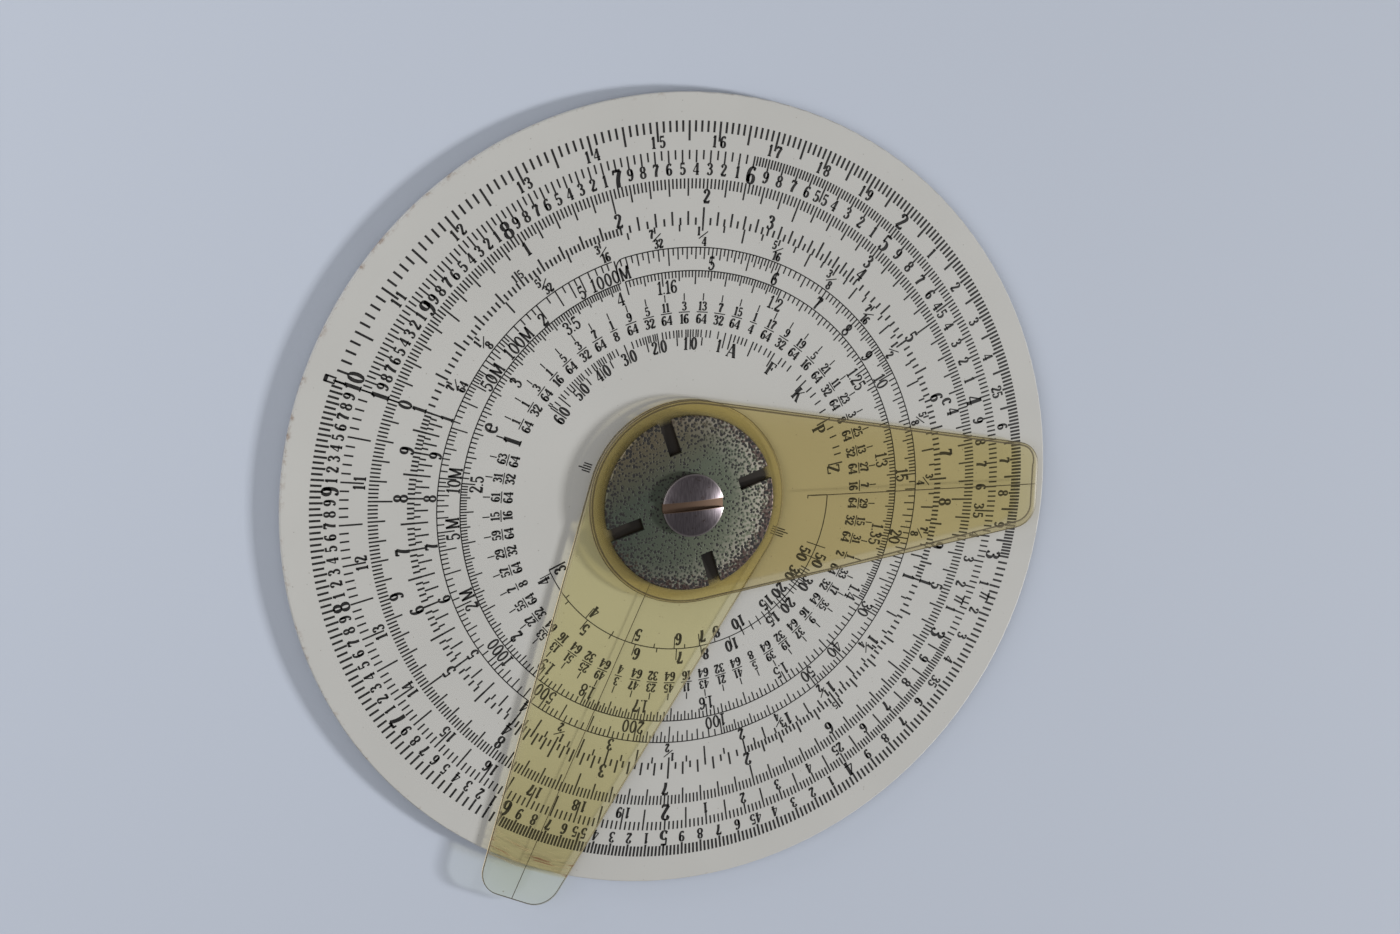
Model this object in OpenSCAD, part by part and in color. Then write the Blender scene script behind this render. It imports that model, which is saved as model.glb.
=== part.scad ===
// Circular slide rule: an enamelled dial, two celluloid cursors and the hub that clamps them.
// The rule lies face up on the flange of its hub post, with the pivot axis along +Z.
// All lengths are millimetres, and the cursors stand at the angles at which they rest.

/* [Dial] */
// Diameter of the dial
dial_d = 216; // [190:1:250]
// Thickness of the dial's sheet metal
dial_t = 1.6; // [1:0.1:3]
// Radius of the rounded edges at the dial's rim
dial_edge_r = 0.4; // [0.2:0.05:0.45]

/* [Cursors] */
// Thickness of the celluloid sheet
cursor_t = 1.0; // [0.6:0.1:1.6]
// Diameter of the round end of both cursors
cursor_hub_d = 55.4; // [51:0.2:64]
// Distance from the pivot to the tip of the long cursor
long_reach = 117.7; // [111:0.1:130]
// Width of the long cursor at its tip, before the corners are rounded
long_tip_w = 21.2; // [16:0.2:28]
// Direction of the long cursor, counter-clockwise from +X
long_angle = -111.1; // [-180:0.1:180]
// Distance from the pivot to the tip of the short cursor
short_reach = 105.9; // [80:0.1:107]
// Width of the short cursor at its tip, before the corners are rounded
short_tip_w = 22.8; // [16:0.2:28]
// Direction of the short cursor, counter-clockwise from +X
short_angle = 2.6; // [-180:0.1:180]
// Radius of the rounded corners at both tips
tip_corner_r = 6.8; // [3:0.1:7.5]
// Width of the scribed hairline
hairline_w = 0.2; // [0.1:0.05:0.4]
// Depth of the scribed hairline in the underside of the sheet
hairline_depth = 0.12; // [0.05:0.01:0.3]
// Distance from the pivot to the inner end of the hairline
hairline_start = 24.4; // [20:0.2:40]

/* [Fibre washers] */
// Outer diameter of the two washers under the cursors
friction_d = 43; // [36:0.5:47]
// Thickness of the washer between the dial and the long cursor
lower_washer_t = 0.8; // [0.4:0.1:2]
// Thickness of the washer between the two cursors
middle_washer_t = 0.4; // [0.2:0.1:1]
// Thickness of the washer behind the dial
back_washer_t = 0.3; // [0.2:0.1:1]

/* [Spring washer] */
// Outer diameter of the spring washer
spring_d = 47.6; // [46:0.2:51]
// Thickness of the spring steel
spring_t = 1.0; // [0.6:0.1:1.4]
// Height that the dish rises from its rim to the post
spring_rise = 1.0; // [0.6:0.1:1.6]
// Width of the rubbing land at the bottom of the rounded rim
spring_land = 0.3; // [0.1:0.05:0.5]
// Number of slots
slot_count = 4; // [3:1:8]
// Width of each slot
slot_w = 3.5; // [2:0.1:5]
// Distance from the pivot to the inner end of each slot
slot_root = 14.3; // [12:0.1:20]
// Direction of the first slot, counter-clockwise from +X
slot_angle = 21.5; // [0:0.5:90]

/* [Hub post] */
// Diameter of the post that the cursors turn on
post_d = 16; // [13:0.1:20]
// Diameter of the flange behind the dial
flange_d = 28; // [24:0.5:40]
// Thickness of the flange
flange_t = 1.2; // [0.8:0.1:3]
// Width of the bevels on the post and its flange
post_bevel = 0.3; // [0.1:0.05:0.5]
// Thickness of metal left behind the blind threaded hole
blind_floor = 1.6; // [1:0.1:3]

/* [Centre screw] */
// Diameter of the screw's thread
screw_d = 7.9; // [5:0.1:10]
// Diameter of the screw's head
head_d = 17; // [14:0.1:22]
// Height of the upright edge of the head
head_edge_h = 1.3; // [0.8:0.1:2.5]
// Height of the dome above that edge
head_dome_h = 0.8; // [0.4:0.1:2]
// Width of the screwdriver slot
drive_slot_w = 2.5; // [1:0.1:3.5]
// Depth of the screwdriver slot below the top of the dome
drive_slot_depth = 1.4; // [0.8:0.1:1.8]
// Direction of the screwdriver slot, counter-clockwise from +X
drive_slot_angle = 6.2; // [0:0.1:180]
// Room left between the end of the screw and the floor of its hole
screw_end_room = 0.4; // [0.2:0.1:1]

/* [Clearances] */
// Radial clearance of each cursor on the post
running_clearance = 0.05; // [0.02:0.01:0.1]
// Radial clearance of the fixed pieces on the post and the screw
seat_clearance = 0.05; // [0.02:0.01:0.2]

/* [Hidden] */
$fn = 96;
// The dish is a small cap of a large sphere, so that sphere is drawn finely
dish_fn = 360;

// Small overshoot that makes a cut pass clean through a face
cut = 0.5;

// Heights of the stack above the surface that the rule lies on
dial_back_z = flange_t + back_washer_t;
dial_face_z = dial_back_z + dial_t;
long_z = dial_face_z + lower_washer_t;
middle_z = long_z + cursor_t;
short_z = middle_z + middle_washer_t;
spring_rim_z = short_z + cursor_t;

// The dish is a shell between two spheres about one centre on the pivot axis.
// Its rim is a full round on the shell's mid surface, cut flat to form the rubbing land.
spring_rim_r = spring_d / 2 - spring_t / 2;
dish_r = (pow(spring_rim_r, 2) - pow(post_d / 2, 2)) / (2 * spring_rise);
rim_drop = sqrt(pow(spring_t / 2, 2) - pow(spring_land / 2, 2));
spring_rim_mid_z = spring_rim_z + rim_drop;
dish_centre_z = spring_rim_mid_z - sqrt(pow(dish_r + spring_t / 2, 2) - pow(spring_rim_r, 2));

// Height of a sphere about the dish's centre, at a distance from the pivot axis
function dish_height(sphere_r, from_axis) = dish_centre_z + sqrt(pow(sphere_r, 2) - pow(from_axis, 2));

// The post meets the underside of the dish, and the head sits on the edge of the dish's hole
post_top_z = dish_height(dish_r, post_d / 2 - post_bevel);
spring_hole_r = screw_d / 2 + seat_clearance;
head_z = dish_height(dish_r + spring_t, spring_hole_r);
head_top_z = head_z + head_edge_h + head_dome_h;
head_dome_r = (pow(head_d / 2, 2) + pow(head_dome_h, 2)) / (2 * head_dome_h);

// Taper of a cursor's straight sides, which are tangent to its round end
function side_angle(reach, tip_w) =
    asin(cursor_hub_d / 2 / sqrt(pow(reach, 2) + pow(tip_w / 2, 2))) - atan(tip_w / 2 / reach);

// Centre of the rounded corner at a cursor's tip, tangent to the side and to the end
function corner_centre(reach, side) = [
    reach - tip_corner_r,
    (cursor_hub_d / 2 - tip_corner_r - (reach - tip_corner_r) * sin(side)) / cos(side)
];

function mirrored(point) = [point[0], -point[1]];

// Plain ring that lies flat with its lower face at z
module flat_ring(outer_d, hole_d, thickness, z) {
    translate([0, 0, z])
        difference() {
            cylinder(d = outer_d, h = thickness);
            translate([0, 0, -cut])
                cylinder(d = hole_d, h = thickness + 2 * cut);
        }
}

// Sheet of a cursor that points along +X: round end, tapered sides, rounded tip
module cursor_sheet(reach, tip_w) {
    side = side_angle(reach, tip_w);
    corner = corner_centre(reach, side);
    across = [sin(side), cos(side)];
    hub_tangent = cursor_hub_d / 2 * across;
    side_tangent = corner + tip_corner_r * across;
    end_tangent = corner + [tip_corner_r, 0];
    cylinder(d = cursor_hub_d, h = cursor_t);
    linear_extrude(height = cursor_t)
        polygon([
            hub_tangent, side_tangent, end_tangent,
            mirrored(end_tangent), mirrored(side_tangent), mirrored(hub_tangent)
        ]);
    for (centre = [corner, mirrored(corner)])
        translate(centre)
            cylinder(r = tip_corner_r, h = cursor_t);
}

// Cursor with its running bore, and the hairline scribed in its underside
module cursor(reach, tip_w, angle, z) {
    rotate([0, 0, angle])
        translate([0, 0, z])
            difference() {
                cursor_sheet(reach, tip_w);
                translate([0, 0, -cut])
                    cylinder(d = post_d + 2 * running_clearance, h = cursor_t + 2 * cut);
                translate([hairline_start, -hairline_w / 2, -cut])
                    cube([reach - hairline_start + cut, hairline_w, cut + hairline_depth]);
            }
}

// Enamelled disc with a rounded rim and the hole for the post
module dial_disc() {
    hole_r = post_d / 2 + seat_clearance;
    rim_r = dial_d / 2 - dial_edge_r;
    color("ivory")
        translate([0, 0, dial_back_z])
            rotate_extrude() {
                translate([hole_r, 0])
                    square([rim_r - hole_r, dial_t]);
                translate([rim_r, dial_edge_r])
                    square([dial_edge_r, dial_t - 2 * dial_edge_r]);
                for (edge_z = [dial_edge_r, dial_t - dial_edge_r])
                    translate([rim_r, edge_z])
                        circle(r = dial_edge_r);
            }
}

// Flanged post with a blind threaded hole, open at the top
module hub_post() {
    post_r = post_d / 2;
    flange_r = flange_d / 2;
    color("silver")
        difference() {
            rotate_extrude()
                polygon([
                    [0, 0], [flange_r - post_bevel, 0], [flange_r, post_bevel], [flange_r, flange_t],
                    [post_r, flange_t], [post_r, post_top_z - post_bevel],
                    [post_r - post_bevel, post_top_z], [0, post_top_z]
                ]);
            translate([0, 0, blind_floor])
                cylinder(r = screw_d / 2 + seat_clearance, h = post_top_z - blind_floor + cut);
        }
}

// Fibre washer between the post's flange and the back of the dial
module back_washer() {
    color("saddlebrown")
        flat_ring(flange_d, post_d + 2 * seat_clearance, back_washer_t, flange_t);
}

// Fibre washer that lifts the long cursor clear of the printed face
module lower_washer() {
    color("saddlebrown")
        flat_ring(friction_d, post_d + 2 * seat_clearance, lower_washer_t, dial_face_z);
}

// Cursor whose tip reaches past the rim, to be turned by hand
module long_cursor() {
    color("darkkhaki", 0.6)
        cursor(long_reach, long_tip_w, long_angle, long_z);
}

// Fibre washer that rides on the long cursor and carries the short one
module middle_washer() {
    color("sienna")
        flat_ring(friction_d, post_d + 2 * running_clearance, middle_washer_t, middle_z);
}

// Cursor that stays inside the rim
module short_cursor() {
    color("khaki", 0.6)
        cursor(short_reach, short_tip_w, short_angle, short_z);
}

// Dished spring: a spherical shell with a rounded rim, a screw hole and open slots
module spring_washer() {
    color("slategray")
        difference() {
            union() {
                intersection() {
                    difference() {
                        translate([0, 0, dish_centre_z])
                            sphere(r = dish_r + spring_t, $fn = dish_fn);
                        translate([0, 0, dish_centre_z])
                            sphere(r = dish_r, $fn = dish_fn);
                    }
                    translate([0, 0, spring_rim_z])
                        cylinder(r = spring_rim_r, h = spring_rise + 2 * spring_t);
                }
                rotate_extrude()
                    intersection() {
                        translate([spring_rim_r, spring_rim_mid_z])
                            circle(d = spring_t);
                        translate([0, spring_rim_z])
                            square([spring_d, spring_t]);
                    }
            }
            translate([0, 0, spring_rim_z - cut])
                cylinder(r = spring_hole_r, h = spring_rise + 2 * spring_t + 2 * cut);
            for (i = [0 : slot_count - 1])
                rotate([0, 0, slot_angle + i * 360 / slot_count])
                    translate([slot_root, -slot_w / 2, spring_rim_z - cut])
                        cube([spring_d / 2, slot_w, spring_rise + 2 * spring_t + 2 * cut]);
        }
}

// Screw with a low domed head, a screwdriver slot and a plain shank at the thread's diameter
module centre_screw() {
    end_z = blind_floor + screw_end_room;
    color("gray")
        difference() {
            union() {
                translate([0, 0, end_z])
                    cylinder(d = screw_d, h = head_z - end_z + head_edge_h);
                intersection() {
                    translate([0, 0, head_z])
                        cylinder(d = head_d, h = head_edge_h + head_dome_h);
                    translate([0, 0, head_top_z - head_dome_r])
                        sphere(r = head_dome_r);
                }
            }
            rotate([0, 0, drive_slot_angle])
                translate([-head_d, -drive_slot_w / 2, head_top_z - drive_slot_depth])
                    cube([2 * head_d, drive_slot_w, drive_slot_depth + cut]);
        }
}

dial_disc();
hub_post();
back_washer();
lower_washer();
long_cursor();
middle_washer();
short_cursor();
spring_washer();
centre_screw();
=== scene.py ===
# %% [markdown]
# # A circular slide rule, dressed for the camera
# The rule is a white enamelled disc with ten rings of printed scales. Two amber celluloid cursors turn over
# it, and a dished spring washer under a slotted screw gives them their drag. The solids come ready made from
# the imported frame, in metres. This script gives every solid its finish, prints the scales as thin ink, and
# sets the camera and the light. Sizes are read from the frame where it has them, so they follow the solids.

# %% Load the frame
import math

import bpy
import numpy as np
from mathutils import Matrix, Vector


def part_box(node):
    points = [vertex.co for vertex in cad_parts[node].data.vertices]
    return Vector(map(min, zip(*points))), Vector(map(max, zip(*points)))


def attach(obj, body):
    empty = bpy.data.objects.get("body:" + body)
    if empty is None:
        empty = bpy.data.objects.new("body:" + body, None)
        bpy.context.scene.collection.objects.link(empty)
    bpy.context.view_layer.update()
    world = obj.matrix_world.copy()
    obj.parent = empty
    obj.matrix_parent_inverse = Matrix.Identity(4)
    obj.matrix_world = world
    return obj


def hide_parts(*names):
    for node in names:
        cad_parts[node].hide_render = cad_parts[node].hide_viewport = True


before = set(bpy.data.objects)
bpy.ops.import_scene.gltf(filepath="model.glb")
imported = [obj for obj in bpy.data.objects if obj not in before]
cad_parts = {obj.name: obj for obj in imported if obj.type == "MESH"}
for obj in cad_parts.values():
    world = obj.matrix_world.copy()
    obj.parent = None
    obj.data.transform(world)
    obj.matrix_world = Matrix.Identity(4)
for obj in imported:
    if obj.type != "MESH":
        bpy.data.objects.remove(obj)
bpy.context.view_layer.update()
MM = 0.001
DIAL_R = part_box("dial_disc")[1].x
FACE_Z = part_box("dial_disc")[1].z
print("dial radius", round(DIAL_R / MM, 2), "mm, printed face at", round(FACE_Z / MM, 2), "mm")

# %% [markdown]
# ## The camera
# The photograph looks at the printed face from its upper left. The place of the camera, the point that it
# looks at and the length of the lens were worked out from the rim and the scale rings, which are true
# circles. The up direction of the picture is square to the X axis of the dial, so two cross products give
# the whole turn.

# %% Camera
CAMERA_MM = Vector((-193.63, 116.18, 527.45))
LOOK_MM = Vector((3.5, 9.11, 0.0))
LENS_MM = 55.06
SENSOR_MM = 36.0
NEAREST_MM = 10.0

face_centre = Vector((0.0, 0.0, FACE_Z))
camera_at = face_centre + CAMERA_MM * MM
forward = (LOOK_MM * MM + face_centre - camera_at).normalized()
upward = Vector((1.0, 0.0, 0.0)).cross(forward).normalized()
sideways = forward.cross(upward)
turn = Matrix((sideways, upward, -forward)).transposed().to_4x4()

camera = bpy.data.objects.new("camera", bpy.data.cameras.new("camera"))
camera.data.lens = LENS_MM
camera.data.sensor_width = SENSOR_MM
camera.data.clip_start = NEAREST_MM * MM
camera.matrix_world = Matrix.Translation(camera_at) @ turn
bpy.context.scene.collection.objects.link(camera)
bpy.context.scene.camera = camera
print("camera", [round(v, 4) for v in camera_at], "looks along", [round(v, 3) for v in forward])

# %% [markdown]
# ## Lamps and sky
# One far lamp rakes over the face from the right, which draws the crisp shadows of the cursors to the left.
# A wide lamp on the left and an even sky fill them in, and a low lamp behind picks out the far edges.
# Together they come to about the light at which a colour renders as it is written. A sky of strength 1
# alone would give that light, so each lamp is set as a share of it: a lamp of power P at a distance d
# lights a face turned to it as a sky of strength P / (pi^2 d^2) would.

# %% Lamps and sky
SKY_SHARE = 0.26


def linear(code):
    """Turn an sRGB hex colour into linear light with full alpha, the form that shaders read."""
    srgb = np.array([int(code[k : k + 2], 16) for k in (1, 3, 5)]) / 255.0
    light = np.where(srgb <= 0.04045, srgb / 12.92, ((srgb + 0.055) / 1.055) ** 2.4)
    return (*light.tolist(), 1.0)


def lamp(name, place, size, share):
    """A square area lamp aimed at the hub, whose light there is a share of a full white sky."""
    light = bpy.data.lights.new(name, "AREA")
    light.shape = "SQUARE"
    light.size = size
    light.energy = share * math.pi**2 * Vector(place).length_squared
    made = bpy.data.objects.new(name, light)
    made.location = place
    made.rotation_euler = Vector(place).to_track_quat("Z", "Y").to_euler()
    made.visible_camera = False
    bpy.context.scene.collection.objects.link(made)


lamp("raking_lamp", (2.43, -0.38, 1.06), size=0.35, share=1.02)
lamp("fill_lamp", (-0.62, 0.10, 0.58), size=0.6, share=0.44)
lamp("edge_lamp", (-0.75, 0.75, 0.22), size=0.4, share=0.30)

sky = bpy.data.worlds.new("even_sky")
sky.use_nodes = True
sky.node_tree.nodes["Background"].inputs["Color"].default_value = linear("#FFFFFF")
sky.node_tree.nodes["Background"].inputs["Strength"].default_value = SKY_SHARE
bpy.context.scene.world = sky
bpy.context.scene.view_settings.view_transform = "Standard"

# %% [markdown]
# ## The floor
# The rule lies on matt pale paper. It is a finish at its plainest: the same all over, so its colour and its
# roughness are set on the sockets of the shader. The sheet is wide, to keep its edge out of the picture.

# %% Floor
FLOOR_HALF = 3.0


def new_finish(name, constants):
    """A new material and its node tree, with the values that are the same all over set on the shader."""
    made = bpy.data.materials.new(name)
    made.use_nodes = True
    for socket, value in constants.items():
        made.node_tree.nodes["Principled BSDF"].inputs[socket].default_value = value
    return made, made.node_tree


def put_mesh(name, points, faces, material):
    """An object at the origin whose mesh holds these points, in metres, and these faces."""
    mesh = bpy.data.meshes.new(name)
    mesh.from_pydata(np.asarray(points).tolist(), [], np.asarray(faces).tolist())
    mesh.materials.append(material)
    made = bpy.data.objects.new(name, mesh)
    bpy.context.scene.collection.objects.link(made)
    return made


paper = new_finish("matt_paper", {"Base Color": linear("#B2B9C6"), "Roughness": 0.8})[0]
floor_corners = np.array([(-1, -1, 0), (1, -1, 0), (1, 1, 0), (-1, 1, 0)]) * FLOOR_HALF
floor = put_mesh("floor", floor_corners, [(0, 1, 2, 3)], paper)
print("floor", 2 * FLOOR_HALF, "m square")

# %% [markdown]
# ## Nodes and patterns
# The other finishes are small trees of shader nodes. One function adds a node, sets its options and links
# its inputs, and returns the output that the next node reads. Inputs go by name or by number: Map Range has
# the ends of its old range as 1 and 2 and of its new one as 3 and 4, and a Mix of colours has its share as
# 0, its colours as 6 and 7, and its result as output 2. What several finishes share is a function too.

# %% Nodes and patterns
def node(tree, kind, inputs, out=0, **options):
    """Add one shader node: inputs are values or sockets to link, options are its own settings."""
    made = tree.nodes.new("ShaderNode" + kind)
    for name, value in options.items():
        setattr(made, name, value)
    for key, value in inputs.items():
        if isinstance(value, bpy.types.NodeSocket):
            tree.links.new(value, made.inputs[key])
        else:
            made.inputs[key].default_value = value
    return made.outputs[out]


def link_shader(finish, links):
    """Link what varies over the surface to the sockets of a finish's shader, and count its nodes."""
    tree = finish.node_tree
    for socket, value in links.items():
        tree.links.new(value, tree.nodes["Principled BSDF"].inputs[socket])
    print("finish", finish.name, "with", len(tree.nodes), "nodes")


def per_mm(size):
    """The texture scale that gives a pattern of this size in millimetres: Object coordinates are metres."""
    return 1.0 / (size * MM)


def from_axis(tree):
    """The Object coordinates of a finish, and how far each point lies from the axis of the dial."""
    at = node(tree, "TexCoord", {}, "Object")
    flat = node(tree, "VectorMath", {0: at, 1: (1, 1, 0)}, operation="MULTIPLY")
    return at, node(tree, "VectorMath", {0: flat}, "Value", operation="LENGTH")


def specks(tree, at, net, rarity, largest, share):
    """Dust: a speck in each cell of a net whose chance is over the rarity, and larger as it rises."""
    cells = {"Vector": at, "Scale": per_mm(net)}
    gap = node(tree, "TexVoronoi", cells, "Distance", voronoi_dimensions="2D")
    chance = node(tree, "SeparateColor", {0: gap.node.outputs["Color"]}, "Red")
    size = node(tree, "MapRange", {"Value": chance, 1: rarity, 2: 1.0, 3: 0.0, 4: largest})
    speck = node(tree, "Math", {0: gap, 1: size}, operation="LESS_THAN")
    return node(tree, "Math", {0: speck, 1: share}, operation="MULTIPLY")


print("a pattern of 1 mm has the scale", per_mm(1.0))

# %% [markdown]
# ## White enamel
# The disc is sheet metal under stoved white enamel, now a warm grey-white with age. Sprayed enamel levels to
# a soft sheen with a faint orange peel. Handling leaves cloudy tone, dust specks and rust at the rim, where
# the coat is thinnest. A picture could hold all this, but noise on the Object coordinates looks the same at
# any distance, and the scale of each pattern is worked out from a real size.

# %% White enamel
CLOUD_MM, BLOTCH_MM, PEEL_MM = 45.0, 3.2, 1.6
RUST_WIDE = 1.5

enamel, tree = new_finish("stoved_white_enamel", {"IOR": 1.5})
at, reach = from_axis(tree)
cloud = node(tree, "TexNoise", {"Vector": at, "Scale": per_mm(CLOUD_MM), "Detail": 5.0})
dust = specks(tree, at, net=4.0, rarity=0.55, largest=0.045, share=0.45)

# Rust: blotches in a narrow band before the rim, thickest on the side towards -X
rim = {"Value": reach, 1: DIAL_R - RUST_WIDE * MM, 2: DIAL_R - 0.1 * MM}
rim = node(tree, "MapRange", rim, interpolation_type="SMOOTHSTEP")
damp = node(tree, "VectorMath", {0: at, 1: (-0.9, 0.3, 0.0)}, "Value", operation="DOT_PRODUCT")
damp = node(tree, "MapRange", {"Value": damp, 1: -0.2 * DIAL_R, 2: 0.9 * DIAL_R, 3: -0.08, 4: 0.03})
blotch = {"Vector": at, "Scale": per_mm(BLOTCH_MM), "Detail": 6.0, "Roughness": 0.7}
rust = node(tree, "Math", {0: node(tree, "TexNoise", blotch), 1: damp})
rust = node(tree, "MapRange", {"Value": rust, 1: 0.54, 2: 0.74})
rust = node(tree, "Math", {0: rust, 1: rim}, operation="MULTIPLY")

colour = linear("#ABAAA6")
for mark, tone in ((cloud, "#B9B8B4"), (dust, "#6E675C"), (rust, "#74563F")):
    colour = node(tree, "Mix", {0: mark, 6: colour, 7: linear(tone)}, 2, data_type="RGBA")
sheen = node(tree, "MapRange", {"Value": cloud, 3: 0.50, 4: 0.64})
peel = node(tree, "TexNoise", {"Vector": at, "Scale": per_mm(PEEL_MM), "Detail": 2.0})
dent = node(tree, "Bump", {"Height": peel, "Strength": 0.05, "Distance": 0.05 * MM})
link_shader(enamel, {"Base Color": colour, "Roughness": sheen, "Normal": dent})

# %% [markdown]
# ## Marks on the celluloid
# The cursors are sheets of clear cellulose nitrate, pressed smooth and gone amber with age. Before the clear
# body come the marks on it, each a share from nought to one that is later laid over the sheet like a coat
# of paint. The rim of the dial has rubbed streaks into the long sheet. Grime lies under the spring washer,
# and the dark share there is partly painted shade of the washer over the sheets. The two sheets have chafed
# each other dull round the hub, where they turn together.

# %% Marks on the celluloid
STREAK_WIDE, STREAK_LONG = 0.7, 10.0
GRIME_SHADE_FROM, GRIME_SHADE_END = 21.0, 26.2
CHAFED_FROM, CHAFED_END = 27.0, 27.8


def sheet_marks(tree, at, reach, bearing, over_dial, stained):
    """Shares of chafing, grime with painted shade, streaks along the rim, and that grime and shade with
    dust.
    """
    chafed = {"Value": reach, 1: CHAFED_FROM * MM, 2: CHAFED_END * MM, 3: 0.14, 4: 0.0}
    chafed = node(tree, "MapRange", chafed)
    # Grime under the washer, deepened and widened as painted shade of the washer over the sheets
    grime_and_shade = {"Value": reach, 1: GRIME_SHADE_FROM * MM, 2: GRIME_SHADE_END * MM, 3: 0.95, 4: 0.0}
    grime_and_shade = node(tree, "MapRange", grime_and_shade, interpolation_type="SMOOTHSTEP")
    dust = specks(tree, at, net=5.0, rarity=0.6, largest=0.05, share=0.4)
    dirt_and_shade = node(tree, "Math", {0: grime_and_shade, 1: dust}, operation="MAXIMUM")

    along = node(tree, "Math", {0: bearing, 1: DIAL_R * per_mm(STREAK_LONG)}, operation="MULTIPLY")
    outward = node(tree, "Math", {0: reach, 1: per_mm(STREAK_WIDE)}, operation="MULTIPLY")
    streaks = {"Vector": node(tree, "CombineXYZ", {0: outward, 1: along}), "Scale": 1.0, "Detail": 5.0}
    streak = node(tree, "MapRange", {"Value": node(tree, "TexNoise", streaks), 1: 0.50, 2: 0.64, 4: stained})
    near_rim = node(tree, "MapRange", {"Value": reach, 1: DIAL_R - 8.0 * MM, 2: DIAL_R - 4.0 * MM})
    stain = node(tree, "Math", {0: near_rim, 1: over_dial}, operation="MULTIPLY")
    stain = node(tree, "Math", {0: stain, 1: streak}, operation="MULTIPLY")
    return chafed, grime_and_shade, stain, dirt_and_shade


print("streaks", STREAK_WIDE, "by", STREAK_LONG, "mm, grime out to", GRIME_SHADE_END, "mm")

# %% [markdown]
# ## Edges of the celluloid
# The edges have a scraped bevel. A band over it between two fine dark lines is painted light and shade: it
# stands in for the bright and dark that the rounded edge bends into view. Two attributes on the sheet's mesh
# let the lines follow it, in millimetres: edge_inset is how far a point lies inside the outline, less than
# nought on the sawn wall, and past_bevel is how far it lies inside the bevel. Oil has crept between the
# sheets and gathered along the lower one's round end, where the upper one covers it.

# %% Edges of the celluloid
OIL_WIDE = 0.6


def sheet_edges(tree, across, over_dial, line_share, wall_share, oiled):
    """The distance past the bevel, and shares of its painted band, oil, painted dark lines, wall and painted
    dark lower corner.
    """
    inset = node(tree, "Attribute", {}, "Fac", attribute_name="edge_inset")
    past_bevel = node(tree, "Attribute", {}, "Fac", attribute_name="past_bevel")
    # Painted light and shade: a band over the bevel, and dark lines at its inner border and at the outline.
    painted_bevel_band = node(tree, "MapRange", {"Value": past_bevel, 1: 0.0, 2: 0.1, 3: 0.45, 4: 0.0})
    painted_bevel_band = node(tree, "Math", {0: painted_bevel_band, 1: over_dial}, operation="MULTIPLY")
    from_bevel = node(tree, "Math", {0: past_bevel}, operation="ABSOLUTE")
    inner_line = node(tree, "MapRange", {"Value": from_bevel, 1: 0.16, 2: 0.34, 3: line_share, 4: 0.0})
    inner_line = node(tree, "Math", {0: inner_line, 1: over_dial}, operation="MULTIPLY")
    outer_line = node(tree, "MapRange", {"Value": inset, 1: 0.16, 2: 0.32, 3: 0.85, 4: 0.0})
    painted_edge_lines = node(tree, "Math", {0: inner_line, 1: outer_line}, operation="MAXIMUM")
    wall = node(tree, "MapRange", {"Value": inset, 1: -0.1, 2: 0.0, 3: wall_share, 4: 0.0})
    foot = node(tree, "MapRange", {"Value": inset, 1: -0.9, 2: -0.7, 3: 0.9, 4: 0.0})
    covered = node(tree, "MapRange", {"Value": across, 1: 14.0 * MM, 2: 20.0 * MM, 4: oiled})
    oil = node(tree, "MapRange", {"Value": inset, 1: OIL_WIDE, 2: OIL_WIDE + 0.3, 3: 1.0, 4: 0.0})
    oil = node(tree, "Math", {0: oil, 1: covered}, operation="MULTIPLY")
    return past_bevel, painted_bevel_band, oil, painted_edge_lines, wall, foot


print("oil line", OIL_WIDE, "mm wide")

# %% [markdown]
# ## Skin of the celluloid
# The yellowed skin of a sheet scatters a little light, which lifts the black of the print under it to brown.
# It is cloudy, and each mark lays its tone over it like a coat of paint and stops more of the light.

# %% Skin of the celluloid
SKIN_CLOUD_MM = 16.0
MARK_GAIN = 1.3


def sheet_skin(tree, at, tones, layers):
    """The skin's colour, the share of light that it stops, and its roughness: a cloud under the marks."""
    cloud = node(tree, "TexNoise", {"Vector": at, "Scale": per_mm(SKIN_CLOUD_MM), "Detail": 4.0})
    rough = node(tree, "MapRange", {"Value": cloud, 3: 0.3, 4: 0.5})
    haze = node(tree, "MapRange", {"Value": cloud, 3: 0.015, 4: 0.045})
    colour = node(tree, "Mix", {0: cloud, 6: linear(tones[0]), 7: linear(tones[1])}, 2, data_type="RGBA")
    for mark, tone in layers:
        weight = node(tree, "Math", {0: mark, 1: MARK_GAIN}, operation="MULTIPLY", use_clamp=True)
        colour = node(tree, "Mix", {0: weight, 6: colour, 7: linear(tone)}, 2, data_type="RGBA")
        haze = node(tree, "Math", {0: haze, 1: mark}, operation="MAXIMUM")
    return colour, haze, rough


print("clouds of", SKIN_CLOUD_MM, "mm in the skin")

# %% [markdown]
# ## Amber celluloid
# Light that passes through a sheet is tinted. Real glass shading would lose the light under the sheet, so
# each surface lets light straight through with a tint, and the hazy skin is mixed in where the light enters,
# with a clear gloss over it. The tint grades from the hub to the rim. The tip past the rim is given a nearly
# clear tint, painted light for light that crosses it only once.

# %% Amber celluloid
CELLULOID_IOR = 1.5


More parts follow.
